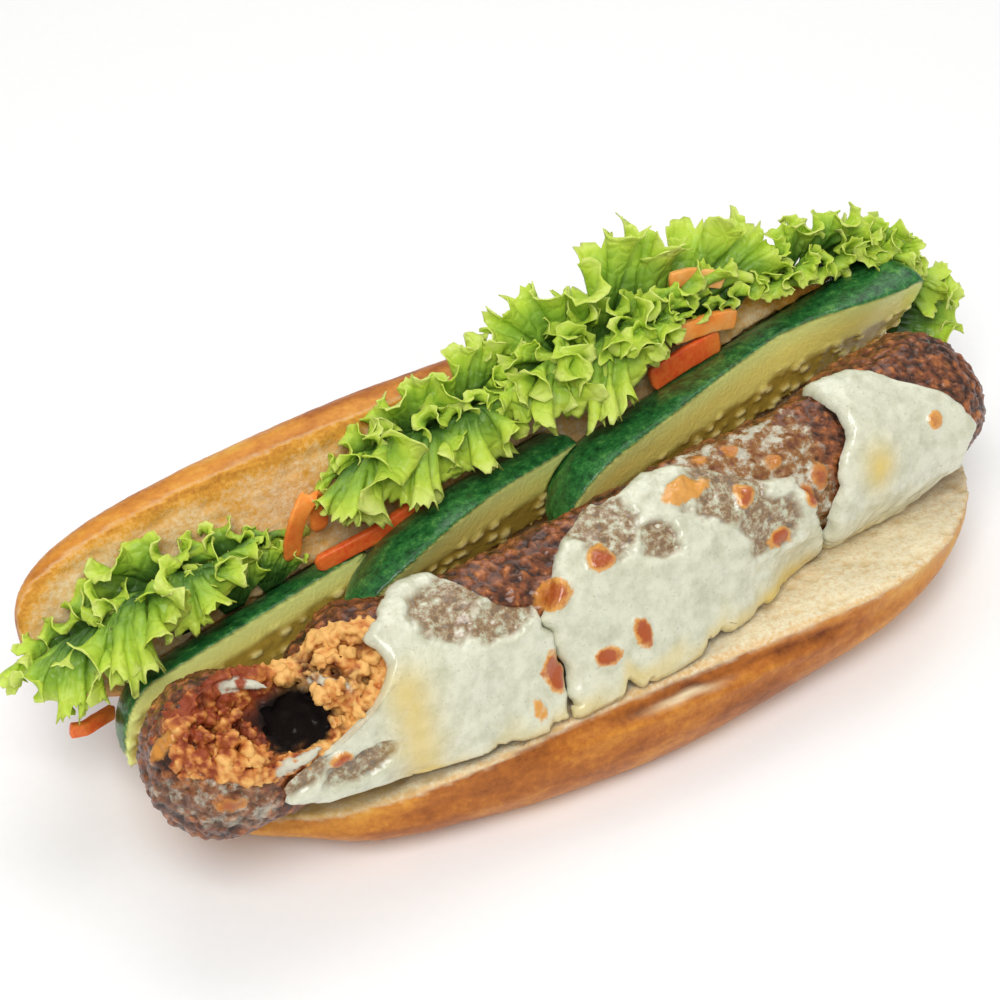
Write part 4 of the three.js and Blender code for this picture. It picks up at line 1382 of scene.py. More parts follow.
# ---------------------------------------------------------------- cheese
@dataclass(frozen=True)
class Browning:
    """Blisters that the grill raised and browned on cheese and mince.

    Attributes:
        blisters: Along, angle, radius along the roll, radius round it, height and how burnt.
        thin: Places where the cheese is so thin that mince shows: along, angle and the two radii.
    """

    blisters: tuple = (
        (101.1, 0.61, 4.6, 3.6, 1.5, 0.7), (85.7, 0.74, 5.4, 4.0, 1.5, 0.6),
        (80.0, 1.62, 3.8, 6.2, 0.8, 0.9), (105.5, 1.62, 3.2, 4.4, 0.6, 0.9),
        (94.8, 1.70, 5.0, 2.6, 0.6, 0.8), (131.0, 0.36, 8.0, 3.6, 1.2, 0.1),
        (145.1, 0.71, 3.4, 3.8, 1.2, 0.7), (169.0, 0.93, 3.6, 4.4, 1.4, 0.9),
        (206.5, 0.93, 3.0, 2.6, 0.7, 0.3), (73.0, 1.86, 2.2, 2.6, 0.3, 0.1),
        (-13.6, 0.12, 4.4, 3.2, 1.0, 0.1), (-6.5, 1.37, 4.6, 2.6, 1.0, 0.9),
        (20.4, 1.32, 3.8, 2.0, 0.7, 0.8), (152.0, 1.38, 4.8, 3.0, 0.8, 0.9),
        (150.0, 0.1, 3.4, 3.0, 1.0, 0.5), (158.0, 0.5, 3.6, 2.6, 1.0, 0.4),
        (163.0, 1.05, 3.0, 3.4, 0.9, 0.8), (141.0, 0.02, 3.0, 2.4, 0.8, 0.3),
    )
    thin: tuple = (
        (60.0, 0.30, 10.0, 9.0), (70.5, 0.72, 9.0, 5.0), (108.0, 0.30, 10.0, 8.0),
        (118.0, 0.72, 6.0, 5.0), (143.0, 0.45, 14.0, 11.0), (150.0, 1.15, 11.0, 8.0),
        (26.0, 1.55, 12.0, 4.0), (10.0, 1.3, 9.0, 5.0),
    )

    @staticmethod
    def spot_distance(spot: tuple, along: Array, angle: Array, radius: Array) -> Array:
        """Returns how far places are from the middle of a spot, against its size."""
        at, turn, long, wide = spot[:4]
        return np.hypot((along - at) / long, (angle - turn) * np.minimum(radius, FLAT_RADIUS) / wide)

    def read(self, along: Array, angle: Array, radius: Array) -> tuple:
        """Reads the blisters at places round the roll.

        Args:
            along: Distances along the roll.
            angle: Angles from straight up towards the front.
            radius: Distances from the axis.

        Returns:
            How high the blisters stand, as shares, and how burnt they are.
        """
        height = np.zeros_like(along)
        burnt = np.zeros_like(along)
        ragged = 0.36 * BLISTER_NOISE.rough(ROLL.place(along, angle, 21.0), 3.6, 4)
        for spot in self.blisters:
            high, char = spot[4:]
            away = self.spot_distance(spot, along, angle, radius) + ragged
            dome = ease(1.12, 0.55, away)
            height = np.maximum(height, dome * min(1.0, 0.45 + high / 2.6))
            burnt = np.maximum(burnt, char * ease(0.95, 0.25, away + 0.5 * ragged))
        return height, burnt

    def thinness(self, along: Array, angle: Array, radius: Array) -> Array:
        """Returns how see-through the cheese is at places round the roll."""
        share = np.zeros_like(along)
        ragged = 0.5 * BLISTER_NOISE.rough(ROLL.place(along, angle, 24.0), 6.5, 4)
        for spot in self.thin:
            away = self.spot_distance(spot, along, angle, radius) + ragged
            share = np.maximum(share, ease(1.15, 0.7, away))
        return share


BLISTER_NOISE = Noise(41)
BROWNING = Browning()


@dataclass
class CheeseSlab:
    """A slab of cheese melted over the roll: it hangs down the front on to the bread.

    Attributes:
        name: The piece's name.
        node: The node it stands for.
        seed: Seed of its noise.
        left: Where its left side lies along the roll, from the upper to the lower edge.
        right: The same for its right side.
        upper: Angle of its upper edge, from left to right.
        leave: Angle where it leaves the meat.
        reach: How far sideways from the axis its lower edge lies.
        thickness: Full thickness.
        wander: How far its sides and its ends wander.
        rounding: How far in from its edge it thins out.
        columns: Mesh columns along it.
        rows: Mesh rows down it.
    """

    name: str
    node: str
    seed: int
    left: tuple
    right: tuple
    upper: tuple
    leave: tuple
    reach: tuple
    thickness: float = 2.6
    wander: tuple = (4.0, 4.5)
    rounding: float = 3.2
    columns: int = 124
    rows: int = 92

    def drape(self, u: Array, v: Array) -> Array:
        """Returns the points of its lower side at shares across and down it."""
        along = mix(smooth_table(self.left, v), smooth_table(self.right, v), u)
        upper, leave, reach = (smooth_table(table, u) for table in (self.upper, self.leave, self.reach))
        over = np.maximum(0, along - ROLL.length)
        cap = np.sqrt(1 - np.minimum(0.9, (over / ROLL.radius) ** 2))

        def on_roll(angle: Array) -> Array:
            """Returns the points just off the roll at angles round it."""
            return ROLL.place(along, angle, ROLL.thickness(along, angle) * cap + GAP + 0.3)

        on_meat = 0.68  # share of the slab that lies on the roll; the rest hangs
        lying = on_roll(mix(upper, leave, np.minimum(v / on_meat, 1)))
        start = on_roll(leave)
        edge = ROLL.place(along, np.full_like(along, math.pi / 2), reach)
        edge[..., 2] = HINGE_Z + (9 / 59) * (HINGE_Y - edge[..., 1]) + GAP + 0.6
        fall = unit(on_roll(leave + 0.1) - start)
        bend = start + fall * (0.55 * (start[..., 2] - edge[..., 2]))[..., None]
        w = np.clip((v - on_meat) / (1 - on_meat), 0, 1)[..., None]
        hanging = start * (1 - w) ** 2 + 2 * bend * w * (1 - w) + edge * w**2
        return np.where((v <= on_meat)[..., None], lying, hanging)

    def build(self) -> Shell:
        """Makes the slab's mesh and returns the shell with its masks."""
        noise = Noise(self.seed)
        u, v = np.meshgrid(np.linspace(0, 1, self.columns), np.linspace(0, 1, self.rows), indexing="ij")
        # The outline wanders: its places are shifted more, the nearer they are to an edge.
        plain = self.drape(u, v)
        flat = plain.reshape(-1, 3)
        wide = np.linalg.norm(np.diff(plain, axis=0), axis=-1).sum(0).mean()
        tall = np.linalg.norm(np.diff(plain, axis=1), axis=-1).sum(1).mean()
        shift_u = (noise.rough(flat, 10.0, 4) * self.wander[0] / wide).reshape(u.shape)
        shift_v = (noise.rough(flat + 90, 9.0, 4) * self.wander[1] / tall).reshape(u.shape)
        near_side = np.abs(2 * u - 1) ** 6
        near_end = np.abs(2 * v - 1) ** 6
        low = self.drape(np.clip(u + shift_u * near_side, -0.05, 1.05), np.clip(v + shift_v * near_end, 0.0, 1.0))
        across = np.gradient(low, axis=1)
        outward = unit(np.cross(across, ROLL.forward))
        steps_u = np.linalg.norm(np.diff(low, axis=0), axis=-1)
        steps_v = np.linalg.norm(np.diff(low, axis=1), axis=-1)
        from_left = np.vstack([np.zeros((1, self.rows)), np.cumsum(steps_u, 0)])
        from_top = np.hstack([np.zeros((self.columns, 1)), np.cumsum(steps_v, 1)])
        to_edge = np.minimum.reduce([from_left, from_left[-1:] - from_left, from_top, from_top[:, -1:] - from_top])
        body = np.sqrt(np.clip(1 - (1 - np.clip(to_edge / self.rounding, 0, 1)) ** 2, 0, 1))
        flat = low.reshape(-1, 3)
        along, angle, radius = ROLL.measure(flat)
        thin = BROWNING.thinness(along, angle, radius)
        height, burnt = BROWNING.read(along, angle, radius)
        swell = 1.1 * noise.soft(flat, 21.0) + 1.0 * noise.rough(flat, 10.0, 3) + 0.35 * noise.rough(flat, 4.0, 3)
        grain = Noise(21)
        show = 1.2 * (0.5 - grain.cells(flat, 3.6)[0]) * (0.15 + 0.85 * thin)
        thick = (0.35 + self.thickness * (1 - 0.72 * thin) + swell).reshape(u.shape) * body
        thick = np.maximum(thick, 0.25) + ((show + 1.3 * height).reshape(u.shape)) * body
        high = low + outward * thick[..., None]
        shell = closed_sheet(low, high)
        edge_oil = ease(9.0, 0.0, (from_top[:, -1:] - from_top).ravel() + 5 * noise.soft(flat, 8.0)) * 0.55
        oil = edge_oil + 0.65 * hill(along, 41, 6) * ease(0.5, 1.0, angle)
        oil += 0.8 * np.exp(-(((along - 186) / 5) ** 2 + ((angle - 1.15) / 0.28) ** 2))
        oil += 0.5 * hill(along, 152, 9) * ease(1.8, 2.1, angle)
        masks = {"blister": height, "burnt": burnt, "thin": thin, "oil": np.clip(oil, 0, 0.85)}
        shell.masks = {name: np.tile(mask, 2) for name, mask in masks.items()}
        return shell


def cheese_slabs() -> list:
    """Returns the three slabs from left to right."""
    return [
        CheeseSlab(
            "melted_cheese_left", "cheese_left", 51, (38, 40.5, 30, 5, 14, 42), (79.5, 79.8, 80, 81.6, 82.4, 80.5),
            (0.2, -0.1, -0.36, -0.2, 0.5, 0.75), (1.62, 1.35, 1.2, 1.2), (23, 28, 31)),
        CheeseSlab(
            "melted_cheese_middle", "cheese_middle", 52, (81, 81.2, 82.4, 83.4, 81.6), (160, 164, 167, 169, 167),
            (0.95, 0.3, -0.02, -0.1, -0.15, 0.1, 0.5, 0.75), (1.2, 1.15, 1.2, 1.4, 1.85),
            (31, 31.5, 31.5, 28.5, 24, 15.5), columns=146),
        CheeseSlab(
            "melted_cheese_right", "cheese_right", 53,
            (179, 182, 176, 169.5, 170.5, 172), (200, 212, 220, 216, 208, 201),
            (-0.26, -0.22, -0.16, 0.1), (1.9, 1.9), (14.5, 14.5), columns=86),
    ]


# ---------------------------------------------------------------- lettuce
@dataclass
class LettuceLeaf:
    """A frilled leaf stretched between its hidden base, its crest and its margin.

    Attributes:
        name: The piece's name.
        node: The node it stands for.
        clearance: How far in front of the back cut face its base lies.
        base: Points of the hidden base: x and z, or x, y and z.
        crest: Points it bends over.
        margin: Points of its frilled margin.
        ruffle: Depth of the bumps its folds start from.
        seed: Seed of its noise and draws.
        lobes: How many lobes it is split into.
        overlap: How far each lobe's margin runs under the next.
        thickness: Thickness of the blade.
        columns: Mesh columns along a lobe's margin.
        rows: Mesh rows from base to margin.
        stages: Stages of growth: share of the mesh, growth, its steepness, pitch and size of the first
            bumps, stiffness, how strongly the blade keeps its place, and rounds.
    """

    name: str
    node: str
    clearance: float
    base: tuple
    crest: tuple
    margin: tuple
    ruffle: float
    seed: int
    lobes: int = 3
    overlap: float = 1.5
    thickness: float = 0.45
    columns: int = 100
    rows: int = 24
    stages: tuple = (
        (0.25, 1.0, 2.6, 16.0, 0.9, 0.3, 0.012, 260),
        (0.5, 0.5, 4.5, 7.0, 0.25, 0.15, 0.003, 120),
        (1.0, 0.38, 7.0, 3.6, 0.1, 0.1, 0.001, 50),
    )

    def lines(self) -> tuple:
        """Returns the points of base, crest and margin, with the base set against the bread."""
        lean = math.tan(BACK_TILT)
        base = [
            point if len(point) == 3 else (point[0], HINGE_Y + (point[1] - HINGE_Z) / lean - self.clearance, point[1])
            for point in self.base
        ]
        return base, list(self.crest), list(self.margin)

    def smooth(self, u: Array, v: Array) -> Array:
        """Returns the unruffled leaf at shares along and up it, which may lie past its ends."""
        inside = np.clip(u, 0, 1)
        rows = []
        for line in self.lines():
            first, second, third, last = curve_through(line, np.array([0.0, 0.1, 0.9, 1.0]))
            row = curve_through(line, inside.ravel()).reshape(*u.shape, 3)
            slope = np.where((u < 0)[..., None], (second - first) * 10, (last - third) * 10)
            rows.append(row + (u - inside)[..., None] * slope)
        v = v[..., None]
        return rows[0] * (1 - v) ** 2 + 2 * rows[1] * v * (1 - v) + rows[2] * v**2

    def grow(self, sheet: Array, home: Array, wide: Array, tall: Array, rounds: int,
             hold: float, stiffness: float) -> Array:
        """Lets a sheet buckle until its threads have the lengths they have grown to.

        Args:
            sheet: Points of the sheet, by column and row.
            home: Where each point is drawn back to.
            wide: Length of each thread along the margin.
            tall: Length of each thread towards the margin.
            rounds: How many times the threads are pulled.
            hold: How strongly the points are drawn home.
            stiffness: How much the sheet resists folding.

        Returns:
            The points after buckling.
        """
        every, ahead, behind = slice(None), slice(1, None), slice(None, -1)
        far, near = slice(2, None), slice(None, -2)
        slant = np.sqrt(((wide[:, ahead] + wide[:, behind]) / 2) ** 2 + ((tall[ahead] + tall[behind]) / 2) ** 2)
        threads = [
            ((behind, every), (ahead, every), wide, 1.0),
            ((every, behind), (every, ahead), tall, 1.0),
            ((behind, behind), (ahead, ahead), slant, 0.45),
            ((behind, ahead), (ahead, behind), slant, 0.45),
            ((near, every), (far, every), wide[1:] + wide[:-1], stiffness),
            ((every, near), (every, far), tall[:, 1:] + tall[:, :-1], stiffness),
        ]
        before = sheet
        rows = np.linspace(0, 1, sheet.shape[1])[None, :, None]
        pull = hold * (1 - 0.85 * rows)
        for _ in range(rounds):
            after = sheet + 0.9 * (sheet - before)
            for _ in range(2):
                move = np.zeros_like(after)
                for first, second, length, weight in threads:
                    gap = after[second] - after[first]
                    size = np.sqrt((gap**2).sum(-1)) + 1e-6
                    step = gap * (0.5 * weight * (1 - length / size))[..., None]
                    move[first] += step
                    move[second] -= step
                after = after + 0.32 * move
            after = after + pull * (home - after)
            after[:, 0] = home[:, 0]
            before, sheet = sheet, after
        return sheet

    def lobe_surface(self, u: Array, v: Array, number: int) -> Array:
        """The smooth surface of one lobe: narrow at its foot, wide and round at its margin.

        Args:
            u: Shares across the lobe.
            v: Shares up it.
            number: Which lobe it is.

        Returns:
            A point for each place.
        """
        draw = np.random.default_rng(100 * number + self.seed + 7)
        half = 0.5 * self.overlap / self.lobes
        centre = 0.5 if self.lobes == 1 else mix(0.62 * half, 1 - 0.62 * half, number / (self.lobes - 1))
        place = centre + (2 * u - 1) * half * mix(0.3, 1.0, v**0.7)
        reach = draw.uniform(0.94, 1.16) * (1 - 0.4 * np.abs(2 * u - 1) ** 2.4)
        surface = self.smooth(place, v * reach)
        lean, twist = draw.uniform(-2.5, 3.5), draw.uniform(2.5, 6.0) * draw.choice([-1, 1])
        return surface + grid_normals(surface) * ((lean + twist * (2 * u - 1)) * v**1.2)[..., None]

    def build_lobe(self, number: int) -> Shell:
        """Makes one lobe and returns its shell with its mask."""
        noise = Noise(60 + self.seed + 13 * number)
        sheet, levels = None, []
        # The blade grows in three stages, each nearer the margin and in finer folds than the last.
        for stage, (share, extra, power, pitch, size, stiffness, hold, rounds) in enumerate(self.stages):
            columns, rows = int(self.columns * share), int(self.rows * share)
            u, v = np.meshgrid(np.linspace(0, 1, columns), np.linspace(0, 1, rows) ** ROW_SPACING, indexing="ij")
            home = self.lobe_surface(u, v, number)
            spots = np.stack([u * self.span / self.lobes, v * 26.0, 0 * u], -1).reshape(-1, 3)
            uneven = noise.soft(spots * [1, 0.3, 1], 16.0).reshape(u.shape)
            sheet = home if sheet is None else self.refine(sheet, u, v)
            levels.append((extra, power))
            bumps = noise.soft(spots + 40 * stage, pitch).reshape(u.shape)
            sheet = sheet + grid_normals(sheet) * (self.ruffle * size * v**1.5 * bumps)[..., None]
            grown = np.ones_like(u)
            for factor, steep in levels:
                grown = grown * (1 + factor * v**steep * (1 + 0.5 * uneven))
            wide = np.linalg.norm(np.diff(home, axis=0), axis=-1) * (grown[1:] + grown[:-1]) / 2
            tall = np.linalg.norm(np.diff(home, axis=1), axis=-1) * 1.04
            sheet = self.grow(sheet, home, wide, tall, rounds, hold, stiffness)
        # Lobes 12 mm wide and teeth 2 mm wide are bitten out of the margin.
        arc = np.concatenate([[0], np.cumsum(np.linalg.norm(np.diff(sheet[:, -1], axis=0), axis=-1))])
        arc = np.stack([arc, 0 * arc, 0 * arc], 1)
        bite = 0.12 * noise.soft(arc, 13.0) + 0.13 * np.abs(noise.soft(arc, 4.4)) + 0.08 * np.abs(noise.soft(arc, 2.0))
        reach = v * (1 - np.clip(bite + 0.03, 0, 0.4)[:, None] * v**2.2)
        sheet = self.refine(sheet, u, reach)
        # Between its veins the blade puckers.
        pucker = noise.rough(spots, 5.5, 3).reshape(u.shape) * 0.5 * (1 - v * 0.5) * np.minimum(v * 4, 1)
        sheet = sheet + grid_normals(sheet) * pucker[..., None]
        across = grid_normals(sheet)
        half = self.thickness / 2 * mix(1.3, 0.7, v)[..., None]
        shell = closed_sheet(sheet - across * half, sheet + across * half)
        shell.masks = {"edge": np.tile(reach.ravel() ** 1.2, 2)}
        return shell

    def build(self) -> Shell:
        """Makes the leaf's mesh from its lobes and returns the shell with its mask."""
        shells = [self.build_lobe(number) for number in range(self.lobes)]
        start = np.cumsum([0] + [len(shell.points) for shell in shells])
        faces = np.vstack([shell.faces + first for shell, first in zip(shells, start)])
        whole = Shell(np.vstack([shell.points for shell in shells]), faces)
        whole.masks = {"edge": np.concatenate([shell.masks["edge"] for shell in shells])}
        return whole

    @property
    def span(self) -> float:
        """Returns the length of the margin before it grows."""
        margin = curve_through(list(self.margin), np.linspace(0, 1, 40))
        return float(np.linalg.norm(np.diff(margin, axis=0), axis=1).sum())

    @staticmethod
    def refine(sheet: Array, u: Array, v: Array) -> Array:
        """Reads a sheet at new places.

        Args:
            sheet: Points of the sheet, by column and row.
            u: Places along it, from 0 to 1.
            v: Places up it, from 0 to 1.

        Returns:
            The points there.
        """
        columns, rows = sheet.shape[:2]
        x = u * (columns - 1)
        y = np.clip(v, 0, 1) ** (1 / ROW_SPACING) * (rows - 1)
        i, j = np.minimum(x.astype(int), columns - 2), np.minimum(y.astype(int), rows - 2)
        p, q = (x - i)[..., None], (y - j)[..., None]
        padded = np.concatenate([2 * sheet[:1] - sheet[1:2], sheet, 2 * sheet[-1:] - sheet[-2:-1]])

        def line(k: Array) -> Array:
            """Returns the points of one row of threads, smoothed along the margin."""
            a, b, c, d = (padded[i + n, k] for n in range(4))
            return b + 0.5 * p * (c - a + p * (2 * a - 5 * b + 4 * c - d + p * (3 * (b - c) + d - a)))

        return line(j) * (1 - q) + line(j + 1) * q


def leaf_between(name: str, back: LettuceLeaf, front: LettuceLeaf, share: float, seed: int) -> LettuceLeaf:
    """Makes a leaf that lies between two others.

    Args:
        name: Its name.
        back: The leaf behind it, whose node it stands for.
        front: The leaf in front of it.
        share: How far it lies from the back leaf towards the front one.
        seed: Seed of its noise and draws.

    Returns:
        The leaf.
    """
    places = np.linspace(0.03, 0.97, 6)
    lines = [
        tuple(map(tuple, mix(curve_through(a, places), curve_through(b, places), share)))
        for a, b in zip(back.lines(), front.lines())
    ]
    return LettuceLeaf(name, back.node, 0.0, *lines, 0.5 * (back.ruffle + front.ruffle), seed)


def leaves() -> list:
    """Returns the leaves."""
    left_back = LettuceLeaf(
        "leaf_left_back", "lettuce_left_back", 1.8, ((-122, 41), (-104, 44), (-86, 47), (-68, 49)),
        ((-136, 37, 46), (-112, 42, 53), (-88, 44, 56), (-64, 44, 55)),
        ((-137, 33, 42), (-127, 40, 53), (-112, 44, 62), (-93, 44, 62), (-76, 43, 59), (-63, 40, 52)), 3, 3)
    left_front = LettuceLeaf(
        "leaf_left_front", "lettuce_left_front", 6, ((-120, 47), (-108, 49), (-96, 51), (-82, 52)),
        ((-139, 29, 54), (-120, 32, 62), (-102, 34, 63), (-86, 36, 59)),
        ((-137, 22, 42), (-129, 15, 42), (-119, 16, 47), (-108, 19, 50), (-94, 23, 51.5), (-78, 30, 53)), 2.4, 16)
    middle_back = LettuceLeaf(
        "leaf_middle_back", "lettuce_middle_back", 1.8, ((-47, 57), (-30, 58), (-14, 59), (6, 60)),
        ((-50, 46, 61), (-34, 49, 66), (-16, 50, 69), (7, 50, 70)),
        ((-52, 43, 58), (-45, 48, 68), (-33, 53, 75), (-18, 55, 79), (-4, 55, 79), (10, 54, 78)), 2.8, 9)
    middle_front = LettuceLeaf(
        "leaf_middle_front", "lettuce_middle_front", 6.5, ((-44, 63), (-30, 64), (-16, 65), (-4, 66)),
        ((-54, 37, 68), (-34, 40, 74), (-18, 42, 76), (-2, 43, 76)),
        ((-57, 33, 62), (-51, 30, 61), (-43, 27, 61), (-33, 25, 61.5), (-21, 26, 61.5), (-9, 28, 62), (3, 32, 66)),
        2.4, 24)
    upper_back = LettuceLeaf(
        "leaf_upper_back", "lettuce_upper_back", 1.8, ((12, 59), (28, 60), (48, 61), (76, 62)),
        ((9, 52, 73), (26, 54, 77), (50, 55, 79), (82, 54, 76)),
        ((-2, 53, 77), (8, 57, 85), (24, 60, 90), (42, 62, 95), (60, 62, 95), (78, 60, 90), (92, 57, 82)), 3.4, 2)
    upper_front = LettuceLeaf(
        "leaf_upper_front", "lettuce_upper_front", 6.5, ((8, 65), (22, 66), (36, 67), (50, 67)),
        ((2, 43, 78), (20, 44, 82), (38, 44, 84), (54, 45, 82)),
        ((-9, 39, 72), (1, 31, 66.5), (11, 26, 64), (22, 25, 65), (33, 28, 67), (44, 34, 71), (52, 40, 76)), 2.6, 32)
    right_back = LettuceLeaf(
        "leaf_right_back", "lettuce_right_back", 1.8,
        ((86, 49.5, 63.2), (94, 54, 61), (103, 60, 57), (111, 61, 52), (119, 60, 47)),
        ((88, 53, 74), (102, 55, 76), (118, 56, 72), (132, 53, 63)),
        ((87, 56, 79), (96, 59, 82), (108, 58, 79), (121, 55, 74), (132, 52, 68), (137, 49, 62)), 2.8, 11)
    right_end = LettuceLeaf(
        "leaf_right_end", "lettuce_right_end", 0,
        ((118, 55, 65), (124, 53, 56), (127, 49, 45), (124, 44, 35)),
        ((126, 50, 68), (134, 46, 56), (137, 41, 45), (132, 38, 38)),
        ((126, 50, 72), (136, 49, 63), (141, 46, 56), (147, 41, 50), (147, 36, 42), (139, 34, 37), (130, 35, 35)),
        2.2, 4, overlap=2.4)
    right_low = LettuceLeaf(
        "leaf_right_low", "lettuce_right_back", 0,
        ((90, 51, 64), (100, 54.5, 62), (110, 58, 58), (120, 58, 52), (127, 54, 46)),
        ((88, 50, 70), (102, 51, 72), (116, 51, 70), (130, 50, 64)),
        ((87, 45, 70), (98, 44.5, 70), (108, 45, 69.5), (118, 46, 68), (128, 47, 65), (137, 46, 60)), 2.2, 29,
        overlap=2.0)
    upper_low = LettuceLeaf(
        "leaf_upper_low", "lettuce_upper_back", 0, ((62, 47, 66), (74, 48.5, 66), (86, 50, 65), (96, 52, 64)),
        ((62, 47, 74), (74, 48, 75), (86, 49, 74), (97, 50, 72)),
        ((64, 45, 76), (72, 43.5, 73), (80, 43, 71.5), (88, 43.5, 71), (98, 45, 71)), 2.2, 13, lobes=2)
    left_low = LettuceLeaf(
        "leaf_left_low", "lettuce_left_front", 0,
        ((-100, 33, 38), (-88, 34, 38), (-76, 35.5, 38.5), (-66, 37, 39)),
        ((-102, 34, 50), (-88, 34.5, 51), (-76, 35.5, 50), (-65, 37, 48)),
        ((-104, 36, 56), (-92, 37, 57), (-80, 38, 56), (-70, 39, 53), (-63, 39, 49)), 2.2, 20)
    return [
        left_back,
        left_low,
        leaf_between("leaf_left_inner", left_back, left_front, 0.5, 9),
        left_front,
        middle_back,
        leaf_between("leaf_middle_inner", middle_back, middle_front, 0.5, 17),
        middle_front,
        upper_back,
        leaf_between("leaf_upper_inner", upper_back, upper_front, 0.38, 22),
        leaf_between("leaf_upper_outer", upper_back, upper_front, 0.7, 7),
        upper_low,
        upper_front,
        right_back,
        right_low,
        right_end,
    ]


# ---------------------------------------------------------------- carrot
@dataclass
class CarrotStrip:
    """A strip of carrot, cut flat and bent.

    Attributes:
        name: The piece's name.
        node: The node it stands for.
        width: Width of the strip.
        thick: Its thickness.
        path: Points its middle passes through.
        seed: Seed of its noise.
        tone: From 0 for the red core to 1 for the pale outside.
        side: Which way its width points.
        columns: Mesh rings along it.
    """

    name: str
    node: str
    width: float
    thick: float
    path: tuple
    seed: int
    tone: float
    side: tuple = (0, 0.25, 1.0)
    columns: int = 50

    def build(self) -> Shell:
        """Makes the strip's mesh and returns the shell with its mask."""
        noise = Noise(self.seed)
        share = np.linspace(0, 1, self.columns)
        middle = curve_through(list(self.path), share)
        ahead = unit(np.gradient(middle, axis=0))
        wide = np.broadcast_to(np.array(self.side, float), ahead.shape)
        flat = unit(np.cross(wide, ahead))
        wide = unit(np.cross(ahead, flat))
        turn = np.linspace(0, 2 * math.pi, 24, endpoint=False)
        square = 0.35
        round_x = np.sign(np.cos(turn)) * np.abs(np.cos(turn)) ** square
        round_y = np.sign(np.sin(turn)) * np.abs(np.sin(turn)) ** square
        taper = np.power(np.clip(np.minimum(share, 1 - share) * 22 + 0.25, 0, 1), 0.6)[:, None]
        rings = middle[:, None] + flat[:, None] * (round_x * self.thick / 2 * taper)[..., None]
        rings = rings + wide[:, None] * (round_y * self.width / 2 * taper)[..., None]
        count, around = rings.shape[:2]
        number = np.arange(count * around).reshape(count, around)
        after = np.roll(number, -1, axis=1)
        faces = np.stack([number[:-1], after[:-1], after[1:], number[1:]], -1).reshape(-1, 4)
        half = around // 2
        caps = []
        for ring in (number[0], number[-1][::-1]):
            for k in range(half - 1):
                caps.append([ring[k + 1], ring[k], ring[-k - 1], ring[-k - 2]])
        shell = Shell(rings.reshape(-1, 3), np.vstack([faces, np.array(caps)])).face_out()
        relief = 0.16 * noise.rough(shell.points, 3.0, 3)
        shell.masks = {"tint": np.clip(self.tone + 0.3 * noise.rough(shell.points, 9.0, 2), 0, 1)}
        shell.points = shell.points + shell.normals() * relief[:, None]
        return shell


def carrot_strips() -> list:
    """Returns the strips."""
    return [
        CarrotStrip("carrot_strip_loop", "carrot_loop", 5.0, 1.5, (
            (-64.5, 36.0, 47), (-64, 36, 54), (-61, 37, 61), (-57.5, 39, 63), (-55.5, 39.5, 59), (-55.5, 38.5, 51)),
            71, 0.3, side=(1, 0.1, -0.2)),
        CarrotStrip("carrot_strip_long", "carrot_long", 4.6, 2.4, (
            (-60, 32, 46), (-50, 31.5, 48.5), (-41, 31.5, 50.5), (-32, 33, 52.5), (-25, 35.5, 54)), 72, 0.02),
        CarrotStrip("carrot_strip_upper", "carrot_upper", 5.6, 2.2, (
            (51, 43.5, 69), (57, 43, 69.5), (64, 43.3, 69), (71.5, 44, 66.8)), 73, 0.5),
        CarrotStrip("carrot_strip_lower", "carrot_lower", 7, 2, (
            (42, 38.7, 60.5), (50, 40, 61.8), (58, 41.4, 62.4), (66, 43, 62.4)), 74, 0.0),
        CarrotStrip("carrot_strip_top", "carrot_top", 5, 2, (
            (54, 51, 81), (60, 51, 80.5), (65, 50, 79), (70, 49, 77)), 75, 0.55),
        CarrotStrip("carrot_strip_end", "carrot_end", 3.8, 2.2, (
            (-132, 22, 32), (-128.5, 22, 31), (-124.5, 24, 29.5), (-119, 28, 26)), 76, 0.1),
    ]


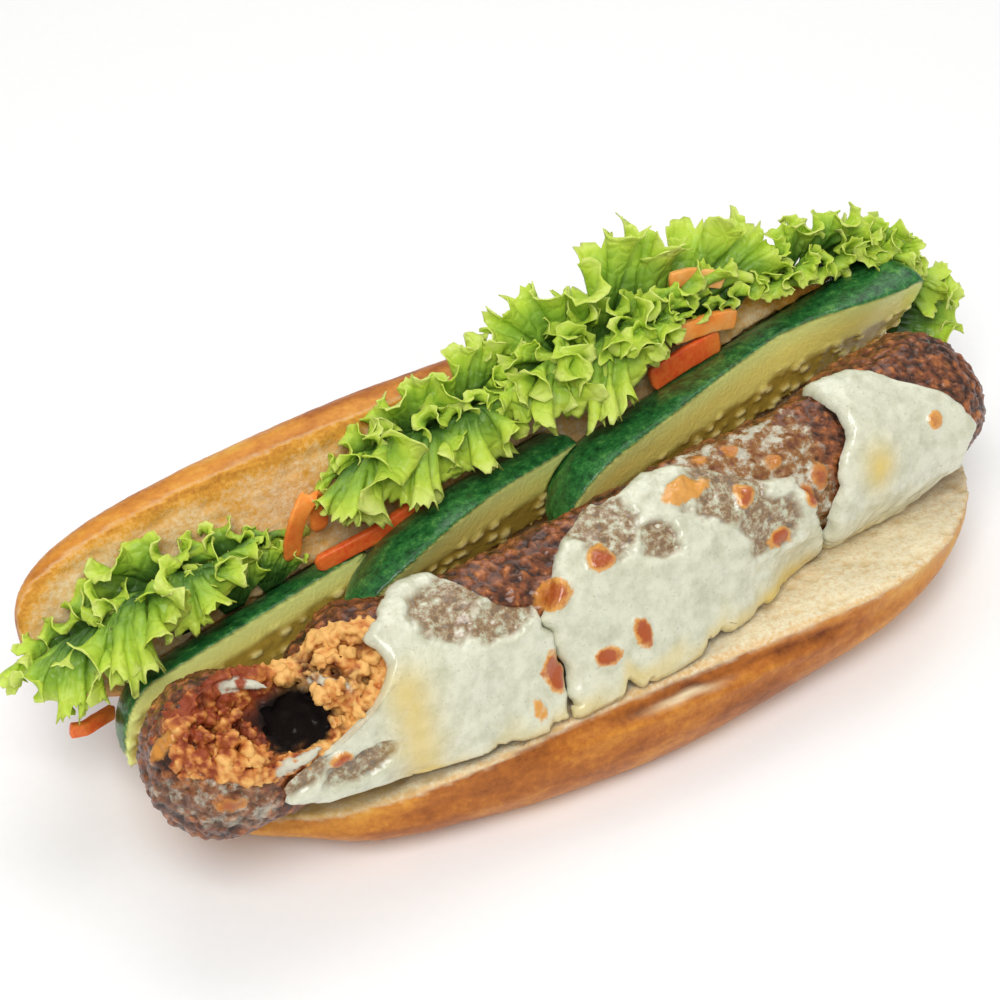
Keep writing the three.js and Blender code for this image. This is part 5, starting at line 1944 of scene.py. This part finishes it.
# ---------------------------------------------------------------- studio
@dataclass
class Studio:
    """A pale floor, soft light and the camera.

    Attributes:
        azimuth: Camera's turn round the sandwich, in degrees.
        elevation: Camera's height above the level, in degrees.
        distance: Camera's distance from its target.
        target: What it looks at.
        lens: Focal length on a frame 36 mm wide.
        lamps: Each soft light's name, place and side in metres, and power in watts.
        sky: Strength of the even white light all round.
    """

    azimuth: float = -28.0
    elevation: float = 45.0
    distance: float = 640.0
    target: tuple = (0.0, 45.0, 30.0)
    lens: float = 85.0
    lamps: tuple = (
        ("key", (-0.35, -0.45, 1.0), 0.55, 8.6),
        ("top", (0.3, 0.6, 1.1), 0.9, 5.6),
        ("fill", (0.9, -0.7, 0.7), 1.0, 1.5),
    )
    sky: float = 0.36

    def camera(self) -> None:
        """Places the camera."""
        a, e = math.radians(self.azimuth), math.radians(self.elevation)
        back = Vector((math.sin(a) * math.cos(e), -math.cos(a) * math.cos(e), math.sin(e)))
        data = bpy.data.cameras.new("camera")
        data.lens, data.sensor_width, data.clip_start, data.clip_end = self.lens, 36.0, 0.01, 20.0
        camera = bpy.data.objects.new("camera", data)
        camera.location = (Vector(self.target) + back * self.distance) * MM
        camera.rotation_mode = "QUATERNION"
        camera.rotation_quaternion = (-back).to_track_quat("-Z", "Y")
        bpy.context.scene.collection.objects.link(camera)
        bpy.context.scene.camera = camera

    def floor(self) -> None:
        """Lays the floor."""
        finish = FinishTree("matt_board", (), {"fibre": (3.0, 3.0, 0.5)})
        tone = finish.layers("#F7F7F6", (finish.maps["fibre"], "#FAFAFA"))
        material = finish.close(tone, (), {"Roughness": 0.9, "Specular IOR Level": 0.1})
        mesh = bpy.data.meshes.new("floor")
        mesh.from_pydata([(-4, -4, 0), (4, -4, 0), (4, 4, 0), (-4, 4, 0)], [], [(0, 1, 2, 3)])
        mesh.materials.append(material)
        floor = bpy.data.objects.new("floor", mesh)
        bpy.context.scene.collection.objects.link(floor)

    def light(self, name: str, place: tuple, size: float, power: float) -> None:
        """Adds a soft square light that faces the sandwich.

        Args:
            name: Its name.
            place: Where it hangs, in metres.
            size: Its side in metres.
            power: Its power in watts.
        """
        data = bpy.data.lights.new(name, "AREA")
        data.shape, data.size, data.energy = "SQUARE", size, power
        lamp = bpy.data.objects.new(name, data)
        lamp.location = place
        lamp.rotation_mode = "QUATERNION"
        lamp.rotation_quaternion = (Vector((0, 0.02, 0.04)) - Vector(place)).to_track_quat("-Z", "Y")
        bpy.context.scene.collection.objects.link(lamp)

    def build(self) -> None:
        """Sets up the studio."""
        self.camera()
        self.floor()
        for lamp in self.lamps:
            self.light(*lamp)
        world = bpy.data.worlds.new("studio")
        world.use_nodes = True
        background = world.node_tree.nodes["Background"]
        background.inputs["Color"].default_value = colour("#FFFFFF")
        background.inputs["Strength"].default_value = self.sky
        bpy.context.scene.world = world
        bpy.context.scene.view_settings.view_transform = "Standard"


def write_sizes() -> None:
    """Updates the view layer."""
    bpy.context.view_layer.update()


def main() -> None:
    """Builds the sandwich and the studio."""
    logging.basicConfig(level=logging.INFO, format="%(name)s %(message)s")
    Studio().build()
    cucumbers = spears()
    install(Baguette().build(cucumbers), "baguette", "bread", Slot.BREAD, BakedBread().material())
    mince, grilled = MinceRoll(), GrilledMince().material()
    install(mince.build_roll(), "mince_roll", "meat_roll", Slot.MEAT, grilled)
    install(mince.build_torn(), "torn_mince", "meat_roll", Slot.MEAT, grilled)
    cheese = MeltedCheese().material()
    for slab in cheese_slabs():
        install(slab.build(), slab.name, slab.node, Slot.CHEESE, cheese)
    cucumber = FreshCucumber().material()
    for k, spear in enumerate(cucumbers):
        install(spear.build(cucumbers[:k]), spear.name, spear.node, Slot.CUCUMBER, cucumber)
    lettuce = LeafLettuce().material()
    for leaf in leaves():
        install(leaf.build(), leaf.name, leaf.node, Slot.LETTUCE, lettuce)
    carrot = FreshCarrot().material()
    for strip in carrot_strips():
        install(strip.build(), strip.name, strip.node, Slot.CARROT, carrot)
    write_sizes()


if __name__ == "__main__":
    main()
